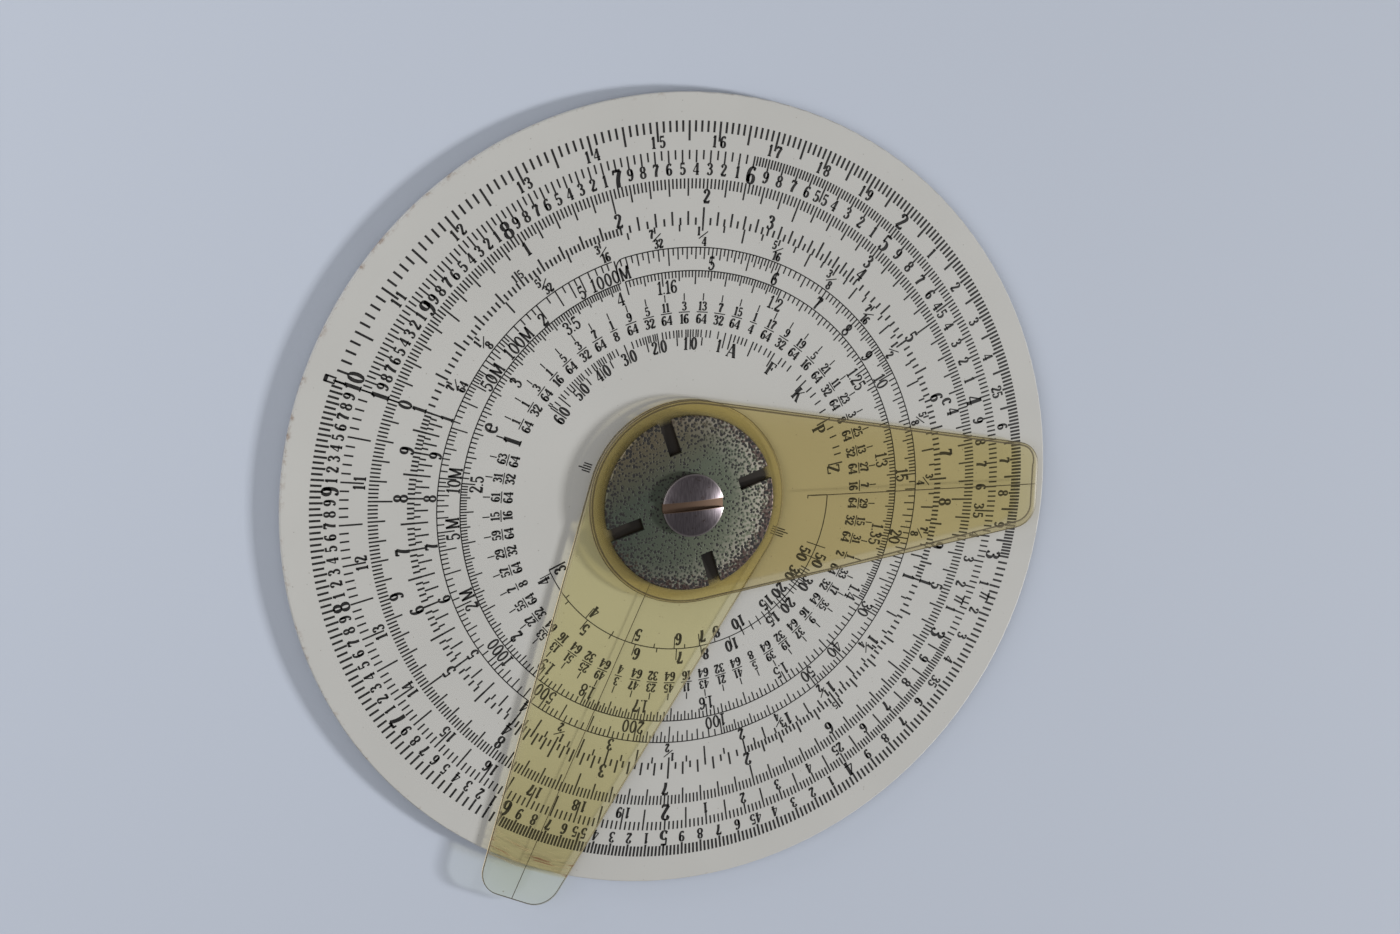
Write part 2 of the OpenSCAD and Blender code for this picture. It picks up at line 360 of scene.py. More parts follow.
def celluloid(name, crossing, skin, bevel_light_and_shade, line_share, wall_share, stained, oiled):
    """Clear sheet: tinted at each surface crossing, hazed by a skin with its marks, and glossy."""
    made, tree = new_finish(name, {"IOR": CELLULOID_IOR})
    at, reach = from_axis(tree)
    across = node(tree, "SeparateXYZ", {0: at})
    bearing = node(tree, "Math", {0: across.node.outputs["Y"], 1: across}, operation="ARCTAN2")
    over_dial = node(tree, "MapRange", {"Value": reach, 1: DIAL_R, 2: DIAL_R + 0.6 * MM, 3: 1.0, 4: 0.0})
    chafed, grime_and_shade, stain, dirt_and_shade = sheet_marks(tree, at, reach, bearing, over_dial, stained)
    edges = sheet_edges(tree, across, over_dial, line_share, wall_share, oiled)
    past_bevel, painted_bevel_band, oil, painted_edge_lines, wall, foot = edges

    # The band over the bevel and the dark edge lines among these layers are painted light and shade.
    layers = [(chafed, "#857C62"), (painted_bevel_band, bevel_light_and_shade), (oil, "#43381F"), (painted_edge_lines, "#43381F"), (stain, "#6E4628")]
    # The grime layer is partly painted shade: it darkens the sheets under the spring washer more than dirt
    # would.
    layers += [(dirt_and_shade, "#1C140A")]
    colour, haze, rough = sheet_skin(tree, at, skin, layers)

    # The clear body
    leaving = node(tree, "NewGeometry", {}, "Backfacing")
    entering = node(tree, "Math", {0: 1.0, 1: leaving}, operation="SUBTRACT")
    outwards = node(tree, "MapRange", {"Value": reach, 1: 0.6 * DIAL_R, 2: DIAL_R})
    amber = {0: outwards, 6: linear(crossing[0]), 7: linear(crossing[1])}
    # Painted light: past the rim the tint is nearly clear.
    tint = {0: over_dial, 6: linear("#FDFEF8"), 7: node(tree, "Mix", amber, 2, data_type="RGBA")}
    clear = node(tree, "BsdfTransparent", {"Color": node(tree, "Mix", tint, 2, data_type="RGBA")})
    hazed = node(tree, "Math", {0: haze, 1: entering}, operation="MULTIPLY")
    body = {0: hazed, 1: clear, 2: tree.nodes["Principled BSDF"].outputs[0]}

    # A Fresnel node inverts its index on the inner side, so there it is given the inverse
    index = node(tree, "MapRange", {"Value": leaving, 3: CELLULOID_IOR, 4: 1 / CELLULOID_IOR})
    gloss = node(tree, "Fresnel", {"IOR": index})
    clean = node(tree, "MapRange", {"Value": grime_and_shade, 3: 0.45, 4: 0.2})
    unscraped = node(tree, "MapRange", {"Value": past_bevel, 1: 0.0, 2: 0.1, 3: 0.25, 4: 1.0})
    for share in (clean, unscraped):
        gloss = node(tree, "Math", {0: gloss, 1: share}, operation="MULTIPLY")
    scraped = node(tree, "MapRange", {"Value": past_bevel, 1: 0.0, 2: 0.1, 3: 0.62, 4: 0.25})
    shine = node(tree, "BsdfGlossy", {"Roughness": scraped})
    sheet = node(tree, "MixShader", {0: gloss, 1: node(tree, "MixShader", body), 2: shine})

    # Light that runs along inside the sheet comes out at the sawn wall on its far side
    glow = node(tree, "BsdfTranslucent", {"Color": linear("#EADBC2")})
    wall = node(tree, "Math", {0: wall, 1: entering}, operation="MULTIPLY")
    sheet = node(tree, "MixShader", {0: wall, 1: sheet, 2: glow})
    # Painted shade: the lower corner of the clear sheet is a dark opaque brown, which draws a dark line and
    # casts a thin line of shadow.
    corner = node(tree, "BsdfDiffuse", {"Color": linear("#3E341F")})
    sheet = node(tree, "MixShader", {0: foot, 1: sheet, 2: corner})
    tree.links.new(sheet, tree.nodes["Material Output"].inputs["Surface"])
    link_shader(made, {"Base Color": colour, "Roughness": rough})
    return made


print("celluloid of index", CELLULOID_IOR)

# %% [markdown]
# ## Two sheets of celluloid
# The long cursor has the paler skin, and its sawn edge glows. The band over its bevel is painted bright, a
# painted highlight, and it has most of the streaks and all of the oil. The skin of the short one is browner,
# and the band over its bevel is painted dark, a painted reflection of dark surroundings.

# %% Two sheets of celluloid
long_finish = celluloid(
    "celluloid_long",
    crossing=("#FDFBEC", "#F7F4E3"),
    skin=("#C3B684", "#CEC18F"),
    bevel_light_and_shade="#C6B796",
    line_share=0.35,
    wall_share=0.9,
    stained=0.75,
    oiled=0.6,
)
short_finish = celluloid(
    "celluloid_short",
    crossing=("#F8F3E0", "#F8F4E1"),
    skin=("#A89A64", "#B3A56E"),
    bevel_light_and_shade="#6E6455",
    line_share=0.85,
    wall_share=0.3,
    stained=0.1,
    oiled=0.0,
)

# %% [markdown]
# ## Pitted plating
# The spring washer is spring steel with a thin plating, tarnished to teal in patches, with a brown patch
# where it was handled. Its side towards +X is painted paler green, as painted light. It has pitted to black
# all over, as old cadmium does. Its rim is darker purple-brown, widest towards +X: worn steel and, where the
# dish turns down, a painted reflection of dark surroundings. Bright flecks between the pits on the side
# towards +X are painted glints. The plating is a dull metal and the pits are bare oxide, so the same pattern
# sets the colour, the metal and the roughness. A pit is a spot up to 0.9 mm across in a net of 0.92 mm
# cells, bent out of round.

# %% Pitted plating
PIT_NET, PIT_BEND = 0.92, 0.9
TARNISH_MM, GRAIN_MM = 9.0, 0.7
DARK_RIM_FROM, DARK_RIM_END = 21.8, 23.8
GLINTS_FROM, GLINTS_END = 15.5, 27.0

plating, tree = new_finish("pitted_grey_plating", {})
at, reach = from_axis(tree)
cloud = node(tree, "TexNoise", {"Vector": at, "Scale": per_mm(TARNISH_MM), "Detail": 4.0})
grain = node(tree, "TexNoise", {"Vector": at, "Scale": per_mm(GRAIN_MM), "Detail": 3.0})

bend = node(tree, "VectorMath", {0: grain.node.outputs["Color"], 1: (0.5, 0.5, 0.5)}, operation="SUBTRACT")
bend = node(tree, "VectorMath", {0: bend, "Scale": PIT_BEND * MM}, operation="SCALE")
cells = {"Vector": node(tree, "VectorMath", {0: at, 1: bend}), "Scale": per_mm(PIT_NET)}
pit_gap = node(tree, "TexVoronoi", cells, "Distance", voronoi_dimensions="2D")
chance = node(tree, "SeparateColor", {0: pit_gap.node.outputs["Color"]}, "Red")
pit_size = node(tree, "MapRange", {"Value": chance, 3: 0.06, 4: 0.48})
crowded = node(tree, "MapRange", {"Value": reach, 1: 13 * MM, 2: 24 * MM, 3: -0.04, 4: 0.12})
pit_size = node(tree, "Math", {0: pit_size, 1: crowded})
pit = node(tree, "Math", {0: pit_size, 1: pit_gap}, operation="SUBTRACT")
pit = node(tree, "MapRange", {"Value": pit, 1: -0.02, 2: 0.04})

# The rim is darker, widest on the side towards +X: worn steel and a painted reflection of dark surroundings.
# Inside it, painted glints brighten the side towards +X.
lean = node(tree, "VectorMath", {0: at, 1: (0.09, -0.05, 0.0)}, "Value", operation="DOT_PRODUCT")
dark_rim = node(tree, "Math", {0: reach, 1: lean})
frayed = node(tree, "MapRange", {"Value": grain, 1: 0.3, 2: 0.7, 3: -3.0 * MM, 4: 3.0 * MM})
dark_rim = node(tree, "Math", {0: dark_rim, 1: frayed})
dark_rim = node(tree, "MapRange", {"Value": dark_rim, 1: DARK_RIM_FROM * MM, 2: DARK_RIM_END * MM})
# Painted highlight: bright flecks between the pits on the side towards +X stand in for glints.
lit = node(tree, "VectorMath", {0: at, 1: (0.42, -0.08, 0.0)}, "Value", operation="DOT_PRODUCT")
glint_side = node(tree, "Math", {0: reach, 1: lit})
glint_side = node(tree, "MapRange", {"Value": glint_side, 1: GLINTS_FROM * MM, 2: GLINTS_END * MM})
inside_rim = node(tree, "Math", {0: 1.15, 1: dark_rim}, operation="SUBTRACT", use_clamp=True)
painted_glint = node(tree, "MapRange", {"Value": pit_gap, 1: 0.42, 2: 0.52, 4: 0.75})
for share in (glint_side, inside_rim):
    painted_glint = node(tree, "Math", {0: painted_glint, 1: share}, operation="MULTIPLY")

# Painted light: the side towards +X is painted paler, with random patches of tarnish laid over it.
side = node(tree, "VectorMath", {0: at, 1: (0.95, -0.3, 0.0)}, "Value", operation="DOT_PRODUCT")
side = node(tree, "MapRange", {"Value": side, 1: -14 * MM, 2: 18 * MM, 3: -0.25, 4: 0.75})
patchy = node(tree, "MapRange", {"Value": cloud, 3: -0.1, 4: 0.5})
tarnish_and_lit_side = node(tree, "Math", {0: side, 1: patchy}, use_clamp=True)
handled = node(tree, "VectorMath", {0: at, 1: (-0.5, 0.85, 0.0)}, "Value", operation="DOT_PRODUCT")
handled = node(tree, "MapRange", {"Value": handled, 1: 8 * MM, 2: 20 * MM, 4: 0.9})
colour = linear("#535B50")
coats = [(tarnish_and_lit_side, "#6E7362"), (handled, "#6A614F"), (dark_rim, "#43322F"), (painted_glint, "#A8A196"), (pit, "#120F0C")]
for mark, tone in coats:
    colour = node(tree, "Mix", {0: mark, 6: colour, 7: linear(tone)}, 2, data_type="RGBA")
metal = node(tree, "MapRange", {"Value": pit, 3: 0.85, 4: 0.0})
rough = node(tree, "MapRange", {"Value": pit, 3: 0.46, 4: 0.8})
sunk = node(tree, "Bump", {"Height": pit, "Strength": 0.5, "Distance": -0.06 * MM})
link_shader(plating, {"Base Color": colour, "Metallic": metal, "Roughness": rough, "Normal": sunk})

# %% [markdown]
# ## Belt-finished steel
# The screw is turned mild steel. Its head was finished across the slot on a belt, which leaves fine straight
# lines, and the slot has gone brown where the driver never polishes it. Noise that is stretched one way
# gives such lines. Years of rubbing have left the head rounder than the solid, so a smooth bump bends its
# shine as a dome would.

# %% Belt-finished steel
SLOT_TURN = math.radians(6.2)
SLOT_HALF = 1.27 * MM
DOME_R = 42 * MM
BELT_MM, STAIN_MM = 0.25, 1.5

screw_steel, tree = new_finish("belt_finished_steel", {"Metallic": 1.0})
at, reach = from_axis(tree)
turned = node(tree, "Mapping", {"Vector": at, "Rotation": (0.0, 0.0, -SLOT_TURN)})
off_slot = node(tree, "SeparateXYZ", {0: turned}, "Y")
beside = node(tree, "Math", {0: off_slot}, operation="ABSOLUTE")
slot = node(tree, "MapRange", {"Value": beside, 1: SLOT_HALF, 2: SLOT_HALF + 0.15 * MM, 3: 1.0, 4: 0.0})
# Painted shade: the half of the head towards -Y is painted darker. Painted highlight: a paler ring at the
# edge of the head.
below = node(tree, "MapRange", {"Value": off_slot, 1: 2.0 * MM, 2: -2.0 * MM, 4: 0.15})
rim_highlight = node(tree, "MapRange", {"Value": reach, 1: 8.0 * MM, 2: 8.4 * MM})

# Belt lines 0.25 mm apart and many times longer, drawn coarser than real so that they show
brushed = node(tree, "Mapping", {"Vector": turned, "Scale": (1.0, 0.06, 1.0)})
belt = node(tree, "TexNoise", {"Vector": brushed, "Scale": per_mm(BELT_MM), "Detail": 3.0})
spot = node(tree, "TexNoise", {"Vector": at, "Scale": per_mm(STAIN_MM), "Detail": 6.0, "Roughness": 0.7})
spot = node(tree, "MapRange", {"Value": spot, 1: 0.58, 2: 0.70})
colour = linear("#484146")
coats = [(belt, "#867E82"), (spot, "#4A3D39"), (below, "#343239"), (rim_highlight, "#958D8E"), (slot, "#6A574A")]
for mark, tone in coats:
    colour = node(tree, "Mix", {0: mark, 6: colour, 7: linear(tone)}, 2, data_type="RGBA")
rough = node(tree, "MapRange", {"Value": belt, 3: 0.24, 4: 0.38})
rough = node(tree, "Math", {0: rough, 1: node(tree, "Math", {0: slot, 1: 0.25}, operation="MULTIPLY")})

# The dome of a sphere: its height falls by half the square of the reach over the sphere's radius
dome = node(tree, "Math", {0: reach, 1: 2.0}, operation="POWER")
dome = node(tree, "Math", {0: dome, 1: -0.5 / DOME_R}, operation="MULTIPLY")
rounded = node(tree, "Bump", {"Height": dome, "Strength": 1.0, "Distance": 1.0})
scored = {"Height": belt, "Strength": 0.15, "Distance": 0.03 * MM, "Normal": rounded}
scored = node(tree, "Bump", scored)
link_shader(screw_steel, {"Base Color": colour, "Roughness": rough, "Normal": scored})

# %% [markdown]
# ## Lathe-turned steel
# The post is the same metal, left as it came off the lathe. The tool leaves fine rings round the axis, which
# noise of one dimension gives where it reads only the distance from that axis. Spots of rust lie over them.

# %% Lathe-turned steel
RING_MM, RUST_MM = 0.35, 2.5

post_steel, tree = new_finish("lathe_turned_steel", {"Metallic": 1.0})
at, reach = from_axis(tree)
ring = node(tree, "TexNoise", {"W": reach, "Scale": per_mm(RING_MM), "Detail": 3.0}, noise_dimensions="1D")
spot = node(tree, "TexNoise", {"Vector": at, "Scale": per_mm(RUST_MM), "Detail": 6.0, "Roughness": 0.7})
spot = node(tree, "MapRange", {"Value": spot, 1: 0.55, 2: 0.72, 3: 0.0, 4: 0.7})
colour = linear("#86827E")
for mark, tone in ((ring, "#A6A29D"), (spot, "#5C463A")):
    colour = node(tree, "Mix", {0: mark, 6: colour, 7: linear(tone)}, 2, data_type="RGBA")
rough = node(tree, "MapRange", {"Value": ring, 3: 0.30, 4: 0.48})
scored = node(tree, "Bump", {"Height": ring, "Strength": 0.2, "Distance": 0.03 * MM})
link_shader(post_steel, {"Base Color": colour, "Roughness": rough, "Normal": scored})

# %% [markdown]
# ## Vulcanised fibre
# The plain washers are punched from vulcanised fibre, a hard pressed paper, dark with old oil. It shows only
# in the slots of the spring washer and under the flange, as a matt brown with a papery grain.

# %% Vulcanised fibre
STRAND_MM = 0.6

fibre, tree = new_finish("oiled_vulcanised_fibre", {"Roughness": 0.7, "IOR": 1.5})
at = node(tree, "TexCoord", {}, "Object")
strand = node(tree, "TexNoise", {"Vector": at, "Scale": per_mm(STRAND_MM), "Detail": 4.0})
brown = {0: strand, 6: linear("#241A13"), 7: linear("#46331F")}
colour = node(tree, "Mix", brown, 2, data_type="RGBA")
fuzz = node(tree, "Bump", {"Height": strand, "Strength": 0.3, "Distance": 0.05 * MM})
link_shader(fibre, {"Base Color": colour, "Normal": fuzz})

# %% [markdown]
# ## Outline of a cursor
# Each cursor is sawn from sheet. Its outline has three kinds of stretch: an arc round the tip's corner, a
# side that touches the round end, and the round end itself. At every station the point is a centre plus a
# radius along the outward normal. To go inwards by an inset is then to shorten the radius, so that a whole
# section with its bevel can be carried round the outline.

# %% Outline of a cursor
CURSOR_HUB_R = 27.7
TIP_CORNER_R = 6.8
BEVEL_DROP = 0.45
FOOT_ROUND = 0.12
EDGE_MARGIN = 1.0
ON_WALL = -1.0
CORNER_STATIONS, SIDE_STATIONS, END_STATIONS, BEVEL_STATIONS = 9, 12, 24, 7


def cursor_outline(reach, tip_wide):
    """Centres, radii and normals, in mm, round a cursor along +X: the upper half, and its mirror image."""
    taper = math.asin(CURSOR_HUB_R / math.hypot(reach, tip_wide / 2)) - math.atan(tip_wide / 2 / reach)
    steep = math.pi / 2 - taper
    corner_x = reach - TIP_CORNER_R
    corner_y = (CURSOR_HUB_R - TIP_CORNER_R - corner_x * math.sin(taper)) / math.cos(taper)
    length = corner_x * math.cos(taper) - corner_y * math.sin(taper)
    slide = CURSOR_HUB_R * np.tan(np.linspace(math.atan(length / CURSOR_HUB_R), 0, SIDE_STATIONS)[1:])
    corner = np.linspace(0, steep, CORNER_STATIONS)
    round_end = np.linspace(steep, math.pi, END_STATIONS)[1:]
    facing = np.concatenate((corner, slide * 0 + steep, round_end))
    centre = np.zeros((len(facing), 2))
    centre[:CORNER_STATIONS] = corner_x, corner_y
    centre[CORNER_STATIONS : -len(round_end)] = slide[:, None] * (math.cos(taper), -math.sin(taper))
    radius = np.where(np.arange(len(facing)) < CORNER_STATIONS, TIP_CORNER_R, CURSOR_HUB_R)
    normal = np.stack((np.cos(facing), np.sin(facing)), -1)
    mirrored = slice(-2, None, -1)
    centre = np.concatenate((centre, centre[mirrored] * (1, -1)))
    normal = np.concatenate((normal, normal[mirrored] * (1, -1)))
    return centre, np.concatenate((radius, radius[mirrored])), normal


def sheet_section(thick, bevel):
    """Insets, heights and edge distances of the section: top, a quarter ellipse, wall and underside."""
    turn = np.linspace(math.pi / 2, 0, BEVEL_STATIONS)
    slope = bevel * (1 - np.cos(turn))
    fall = thick - BEVEL_DROP * (1 - np.sin(turn))
    far = bevel + EDGE_MARGIN
    inset = [far, *slope, 0.0, FOOT_ROUND, 2 * FOOT_ROUND, far]
    height = [thick, *fall, FOOT_ROUND, 0.0, 0.0, 0.0]
    distance = [far, *slope, ON_WALL, ON_WALL, far, far]
    return np.array(inset), np.array(height), np.array(distance)


print("stations round half an outline:", CORNER_STATIONS + SIDE_STATIONS + END_STATIONS - 2)

# %% [markdown]
# ## Cursor sheets
# The upper edge of a cursor is scraped to a soft bevel, but the solids have square edges. So each gets a
# bevelled sheet in its place, which stops a little short of the solid's tip. The scraper bit deepest along
# the tip and the lower side, and elsewhere the section is drawn in to a least share of its bevel. The
# distances that the finish reads are kept on the mesh as its two attributes.

# %% Cursor sheets
CURSOR_BORE_R = 8.05
SCRAPE_START, SCRAPE_LENGTH, SCRAPE_LEAN = 0.4, 0.5, 1.2
SHARP_TURN = math.radians(40)


def cursor_sheet(solid, body, turn_deg, reach, tip_wide, bevel, least, finish):
    """A sheet in place of a solid: its section carried round its outline, closed by the wall of its bore."""
    low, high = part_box(solid)
    centre, radius, normal = cursor_outline(reach, tip_wide)
    inset, height, distance = sheet_section((high.z - low.z) / MM, bevel)
    outline = centre + radius[:, None] * normal
    scraped = np.clip((outline[:, 0] - SCRAPE_START * reach) / (SCRAPE_LENGTH * reach), 0, 1)
    scraped = scraped * np.clip(1 - SCRAPE_LEAN * normal[:, 1], 0, 1)
    uneven = (least + (1 - least) * scraped)[:, None]
    rim = centre + (radius[:, None] - inset[:, None, None] * uneven) * normal
    bore = CURSOR_BORE_R * outline / np.linalg.norm(outline, axis=1, keepdims=True)
    flat = np.concatenate((bore[None], rim, bore[None]))
    levels = np.concatenate(([height[0]], height, [0.0]))
    turn = math.radians(turn_deg)
    spin = np.array([[math.cos(turn), math.sin(turn)], [-math.sin(turn), math.cos(turn)]])
    heights = np.broadcast_to(levels[:, None, None] + low.z / MM, (*flat.shape[:2], 1))
    points = np.concatenate((flat @ spin, heights), -1).reshape(-1, 3) * MM
    rows, columns = flat.shape[:2]
    row, column = np.indices((rows, columns))
    below, beside = (row + 1) % rows, (column + 1) % columns
    corners = [(row, column), (below, column), (below, beside), (row, beside)]
    quads = np.stack([down * columns + along for down, along in corners], -1).reshape(-1, 4)
    made = put_mesh(solid + "_sheet", points, quads, finish)
    made.data.shade_smooth()
    made.data.set_sharp_from_angle(angle=SHARP_TURN)
    distance = np.concatenate(([CURSOR_HUB_R], distance, [CURSOR_HUB_R]))[:, None]
    fields = {
        "edge_inset": np.where(distance > 0, distance * uneven.T, distance),
        "past_bevel": (distance - bevel) * uneven.T,
    }
    for name, values in fields.items():
        field = made.data.attributes.new(name, "FLOAT", "POINT")
        field.data.foreach_set("value", np.broadcast_to(values, (rows, columns)).ravel())
    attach(made, body)
    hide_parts(solid)
    print(made.name, len(quads), "faces")


LONG_TURN, LONG_REACH = -111.1, 117.68
SHORT_TURN, SHORT_REACH = 2.6, 104.5
long_cut = {"tip_wide": 21.2, "bevel": 0.6, "least": 1.0}
short_cut = {"tip_wide": 22.8, "bevel": 1.95, "least": 0.37}
cursor_sheet("long_cursor", "long_arm", LONG_TURN, LONG_REACH, **long_cut, finish=long_finish)
cursor_sheet("short_cursor", "short_arm", SHORT_TURN, SHORT_REACH, **short_cut, finish=short_finish)

# %% [markdown]
# ## Dressing the solids
# A solid from the frame keeps its mesh, and only the material in its slot is changed.

# %% Dress the solids
dress = {
    "dial_disc": enamel,
    "spring_washer": plating,
    "centre_screw": screw_steel,
    "hub_post": post_steel,
    "back_washer": fibre,
    "lower_washer": fibre,
    "middle_washer": fibre,
}
for name, finish in dress.items():
    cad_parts[name].material_slots[0].material = finish
print("dressed", len(dress), "solids")

# %% [markdown]
# ## Printing ink
# The scales are printed on the enamel in an oil-bound black that has dried to a dull sheen. Rubbing has
# greyed it in patches, which noise of about a millimetre gives.

# %% Printing ink
RUBBED_MM = 1.2

ink, tree = new_finish("black_printing_ink", {"IOR": 1.5, "Roughness": 0.42})
at = node(tree, "TexCoord", {}, "Object")
wear = node(tree, "TexNoise", {"Vector": at, "Scale": per_mm(RUBBED_MM), "Detail": 4.0})
wear = node(tree, "MapRange", {"Value": wear, 1: 0.45, 2: 0.75})
black = {0: wear, 6: linear("#0D0C0C"), 7: linear("#2B2927")}
link_shader(ink, {"Base Color": node(tree, "Mix", black, 2, data_type="RGBA")})

# %% [markdown]
# ## Ink bars
# The print is a few hundredths of a millimetre thick. An image would blur close up, so every line is a thin
# closed bar that stands on the face and is keyed a little into it. A bar is a ribbon with a left and a right
# edge at each station along it, given a top and an underside. All the bars of one kind are worked out
# together as arrays, and each scale becomes one piece.

# %% Ink bars
INK_TOP = FACE_Z + 0.02 * MM
INK_FOOT = FACE_Z - 0.01 * MM
INDEX_TURN = 161.92


def on_dial(phi, radius, across):
    """Points in metres: phi degrees clockwise from the index, the rest as shares of the dial radius."""
    angle = np.radians(INDEX_TURN - np.asarray(phi, float))
    outward = np.stack((np.cos(angle), np.sin(angle)), -1)
    clockwise = np.stack((np.sin(angle), -np.cos(angle)), -1)
    radius, across = np.broadcast_arrays(np.asarray(radius, float), np.asarray(across, float))
    return DIAL_R * (radius[..., None] * outward + across[..., None] * clockwise)


def ribbons(left, right, closed=False, foot=INK_FOOT, top=INK_TOP):
    """Closed bars from ribbons of k strokes by n stations: four corners a station, joined to the next."""
    count, stations = left.shape[:2]
    corners = np.stack((left, right, right, left), 2)
    heights = np.broadcast_to([top, top, foot, foot], corners.shape[:3])
    points = np.concatenate((corners, heights[..., None]), -1).reshape(-1, 3)
    here = np.arange(stations if closed else stations - 1)[:, None] * 4
    there = (here + 4) % (4 * stations)
    side = np.arange(4)
    following = (side + 1) % 4
    quads = np.stack((here + side, here + following, there + following, there + side), -1).reshape(-1, 4)
    if not closed:
        last = 4 * (stations - 1)
        ends = [[0, 3, 2, 1], [last, last + 1, last + 2, last + 3]]
        quads = np.concatenate((quads, ends))
    shift = np.arange(count)[:, None, None] * 4 * stations
    return points, (shift + quads).reshape(-1, 4)


def ticks(phi, inner, outer, width_mm, across=0.0):
    """Radial lines at the angles phi, from the inner to the outer radius, each width_mm wide."""
    phi = np.atleast_1d(np.asarray(phi, float))
    ends = np.stack(np.broadcast_arrays(phi * 0 + inner, phi * 0 + outer), 1)
    half = width_mm * MM / DIAL_R / 2
    angles = phi[:, None]
    return ribbons(on_dial(angles, ends, across - half), on_dial(angles, ends, across + half))


def ring_line(radius, width_mm, start, stop):
    """A line that follows a circle round the dial from one angle to another."""
    phi = np.linspace(start, stop, 2 + int(stop - start))[None]
    half = width_mm * MM / DIAL_R / 2
    return ribbons(*[on_dial(phi, phi * 0 + radius + side * half, 0.0) for side in (1, -1)])


def ink_piece(name, parts, body="dial", finish=ink):
    """Join parts, each points and quads, into one inked piece that rides on a body."""
    starts = np.cumsum([0] + [len(points) for points, quads in parts])
    points = np.concatenate([points for points, quads in parts])
    faces = np.concatenate([quads + start for (points, quads), start in zip(parts, starts)])
    made = put_mesh(name, points, faces, finish)
    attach(made, body)
    print(name, len(parts), "kinds of bar,", len(faces), "faces")


print("ink stands", round((INK_TOP - FACE_Z) / MM, 3), "mm above the face")

# %% [markdown]
# ## Strokes of a pen
# The numerals are a narrow book face of the old kind: upright strokes are thick, level ones thin, and curls
# end in a ball. A font file would bring in someone's drawing, so each sign is a few strokes of a broad pen,
# in hundredths of the height of its box. A stroke is a line, a smooth curve through its points, a loop or a
# ball, and its weight says how heavy it is.

# %% Strokes of a pen
def line(*hundredths, weight=1.0):
    """A straight stroke from point to point, each an x and a y."""
    return weight, "line", np.reshape(hundredths, (-1, 2)) / 100


def level(start, stop, y=3, weight=1.0):
    """A level stroke. Where no y is given it is a serif at the foot of a sign."""
    return line(start, y, stop, y, weight=weight)


def stem(x):
    """An upright as high as the box."""
    return line(x, 0, x, 100)


def curve(*hundredths, weight=1.0):
    """A smooth stroke through the points, each an x and a y."""
    return weight, "curve", np.reshape(hundredths, (-1, 2)) / 100


def loop(x, y, wide, high):
    """A closed oval round a centre, with its two half sizes."""
    return 1.0, "loop", np.array((x, y, wide, high)) / 100


def ball(x, y, size=7):
    """The round drop at the end of a curl."""
    return 1.0, "ball", np.array((x, y, size)) / 100


print("strokes:", [stroke.__name__ for stroke in (line, level, stem, curve, loop, ball)])

# %% [markdown]
# ## Numerals and letters
# A sign starts with its width, and its strokes follow. Only the signs that the scales use are drawn. The p
# is the Greek letter for the ratio of a circle, and the e and the c end in the same hook.

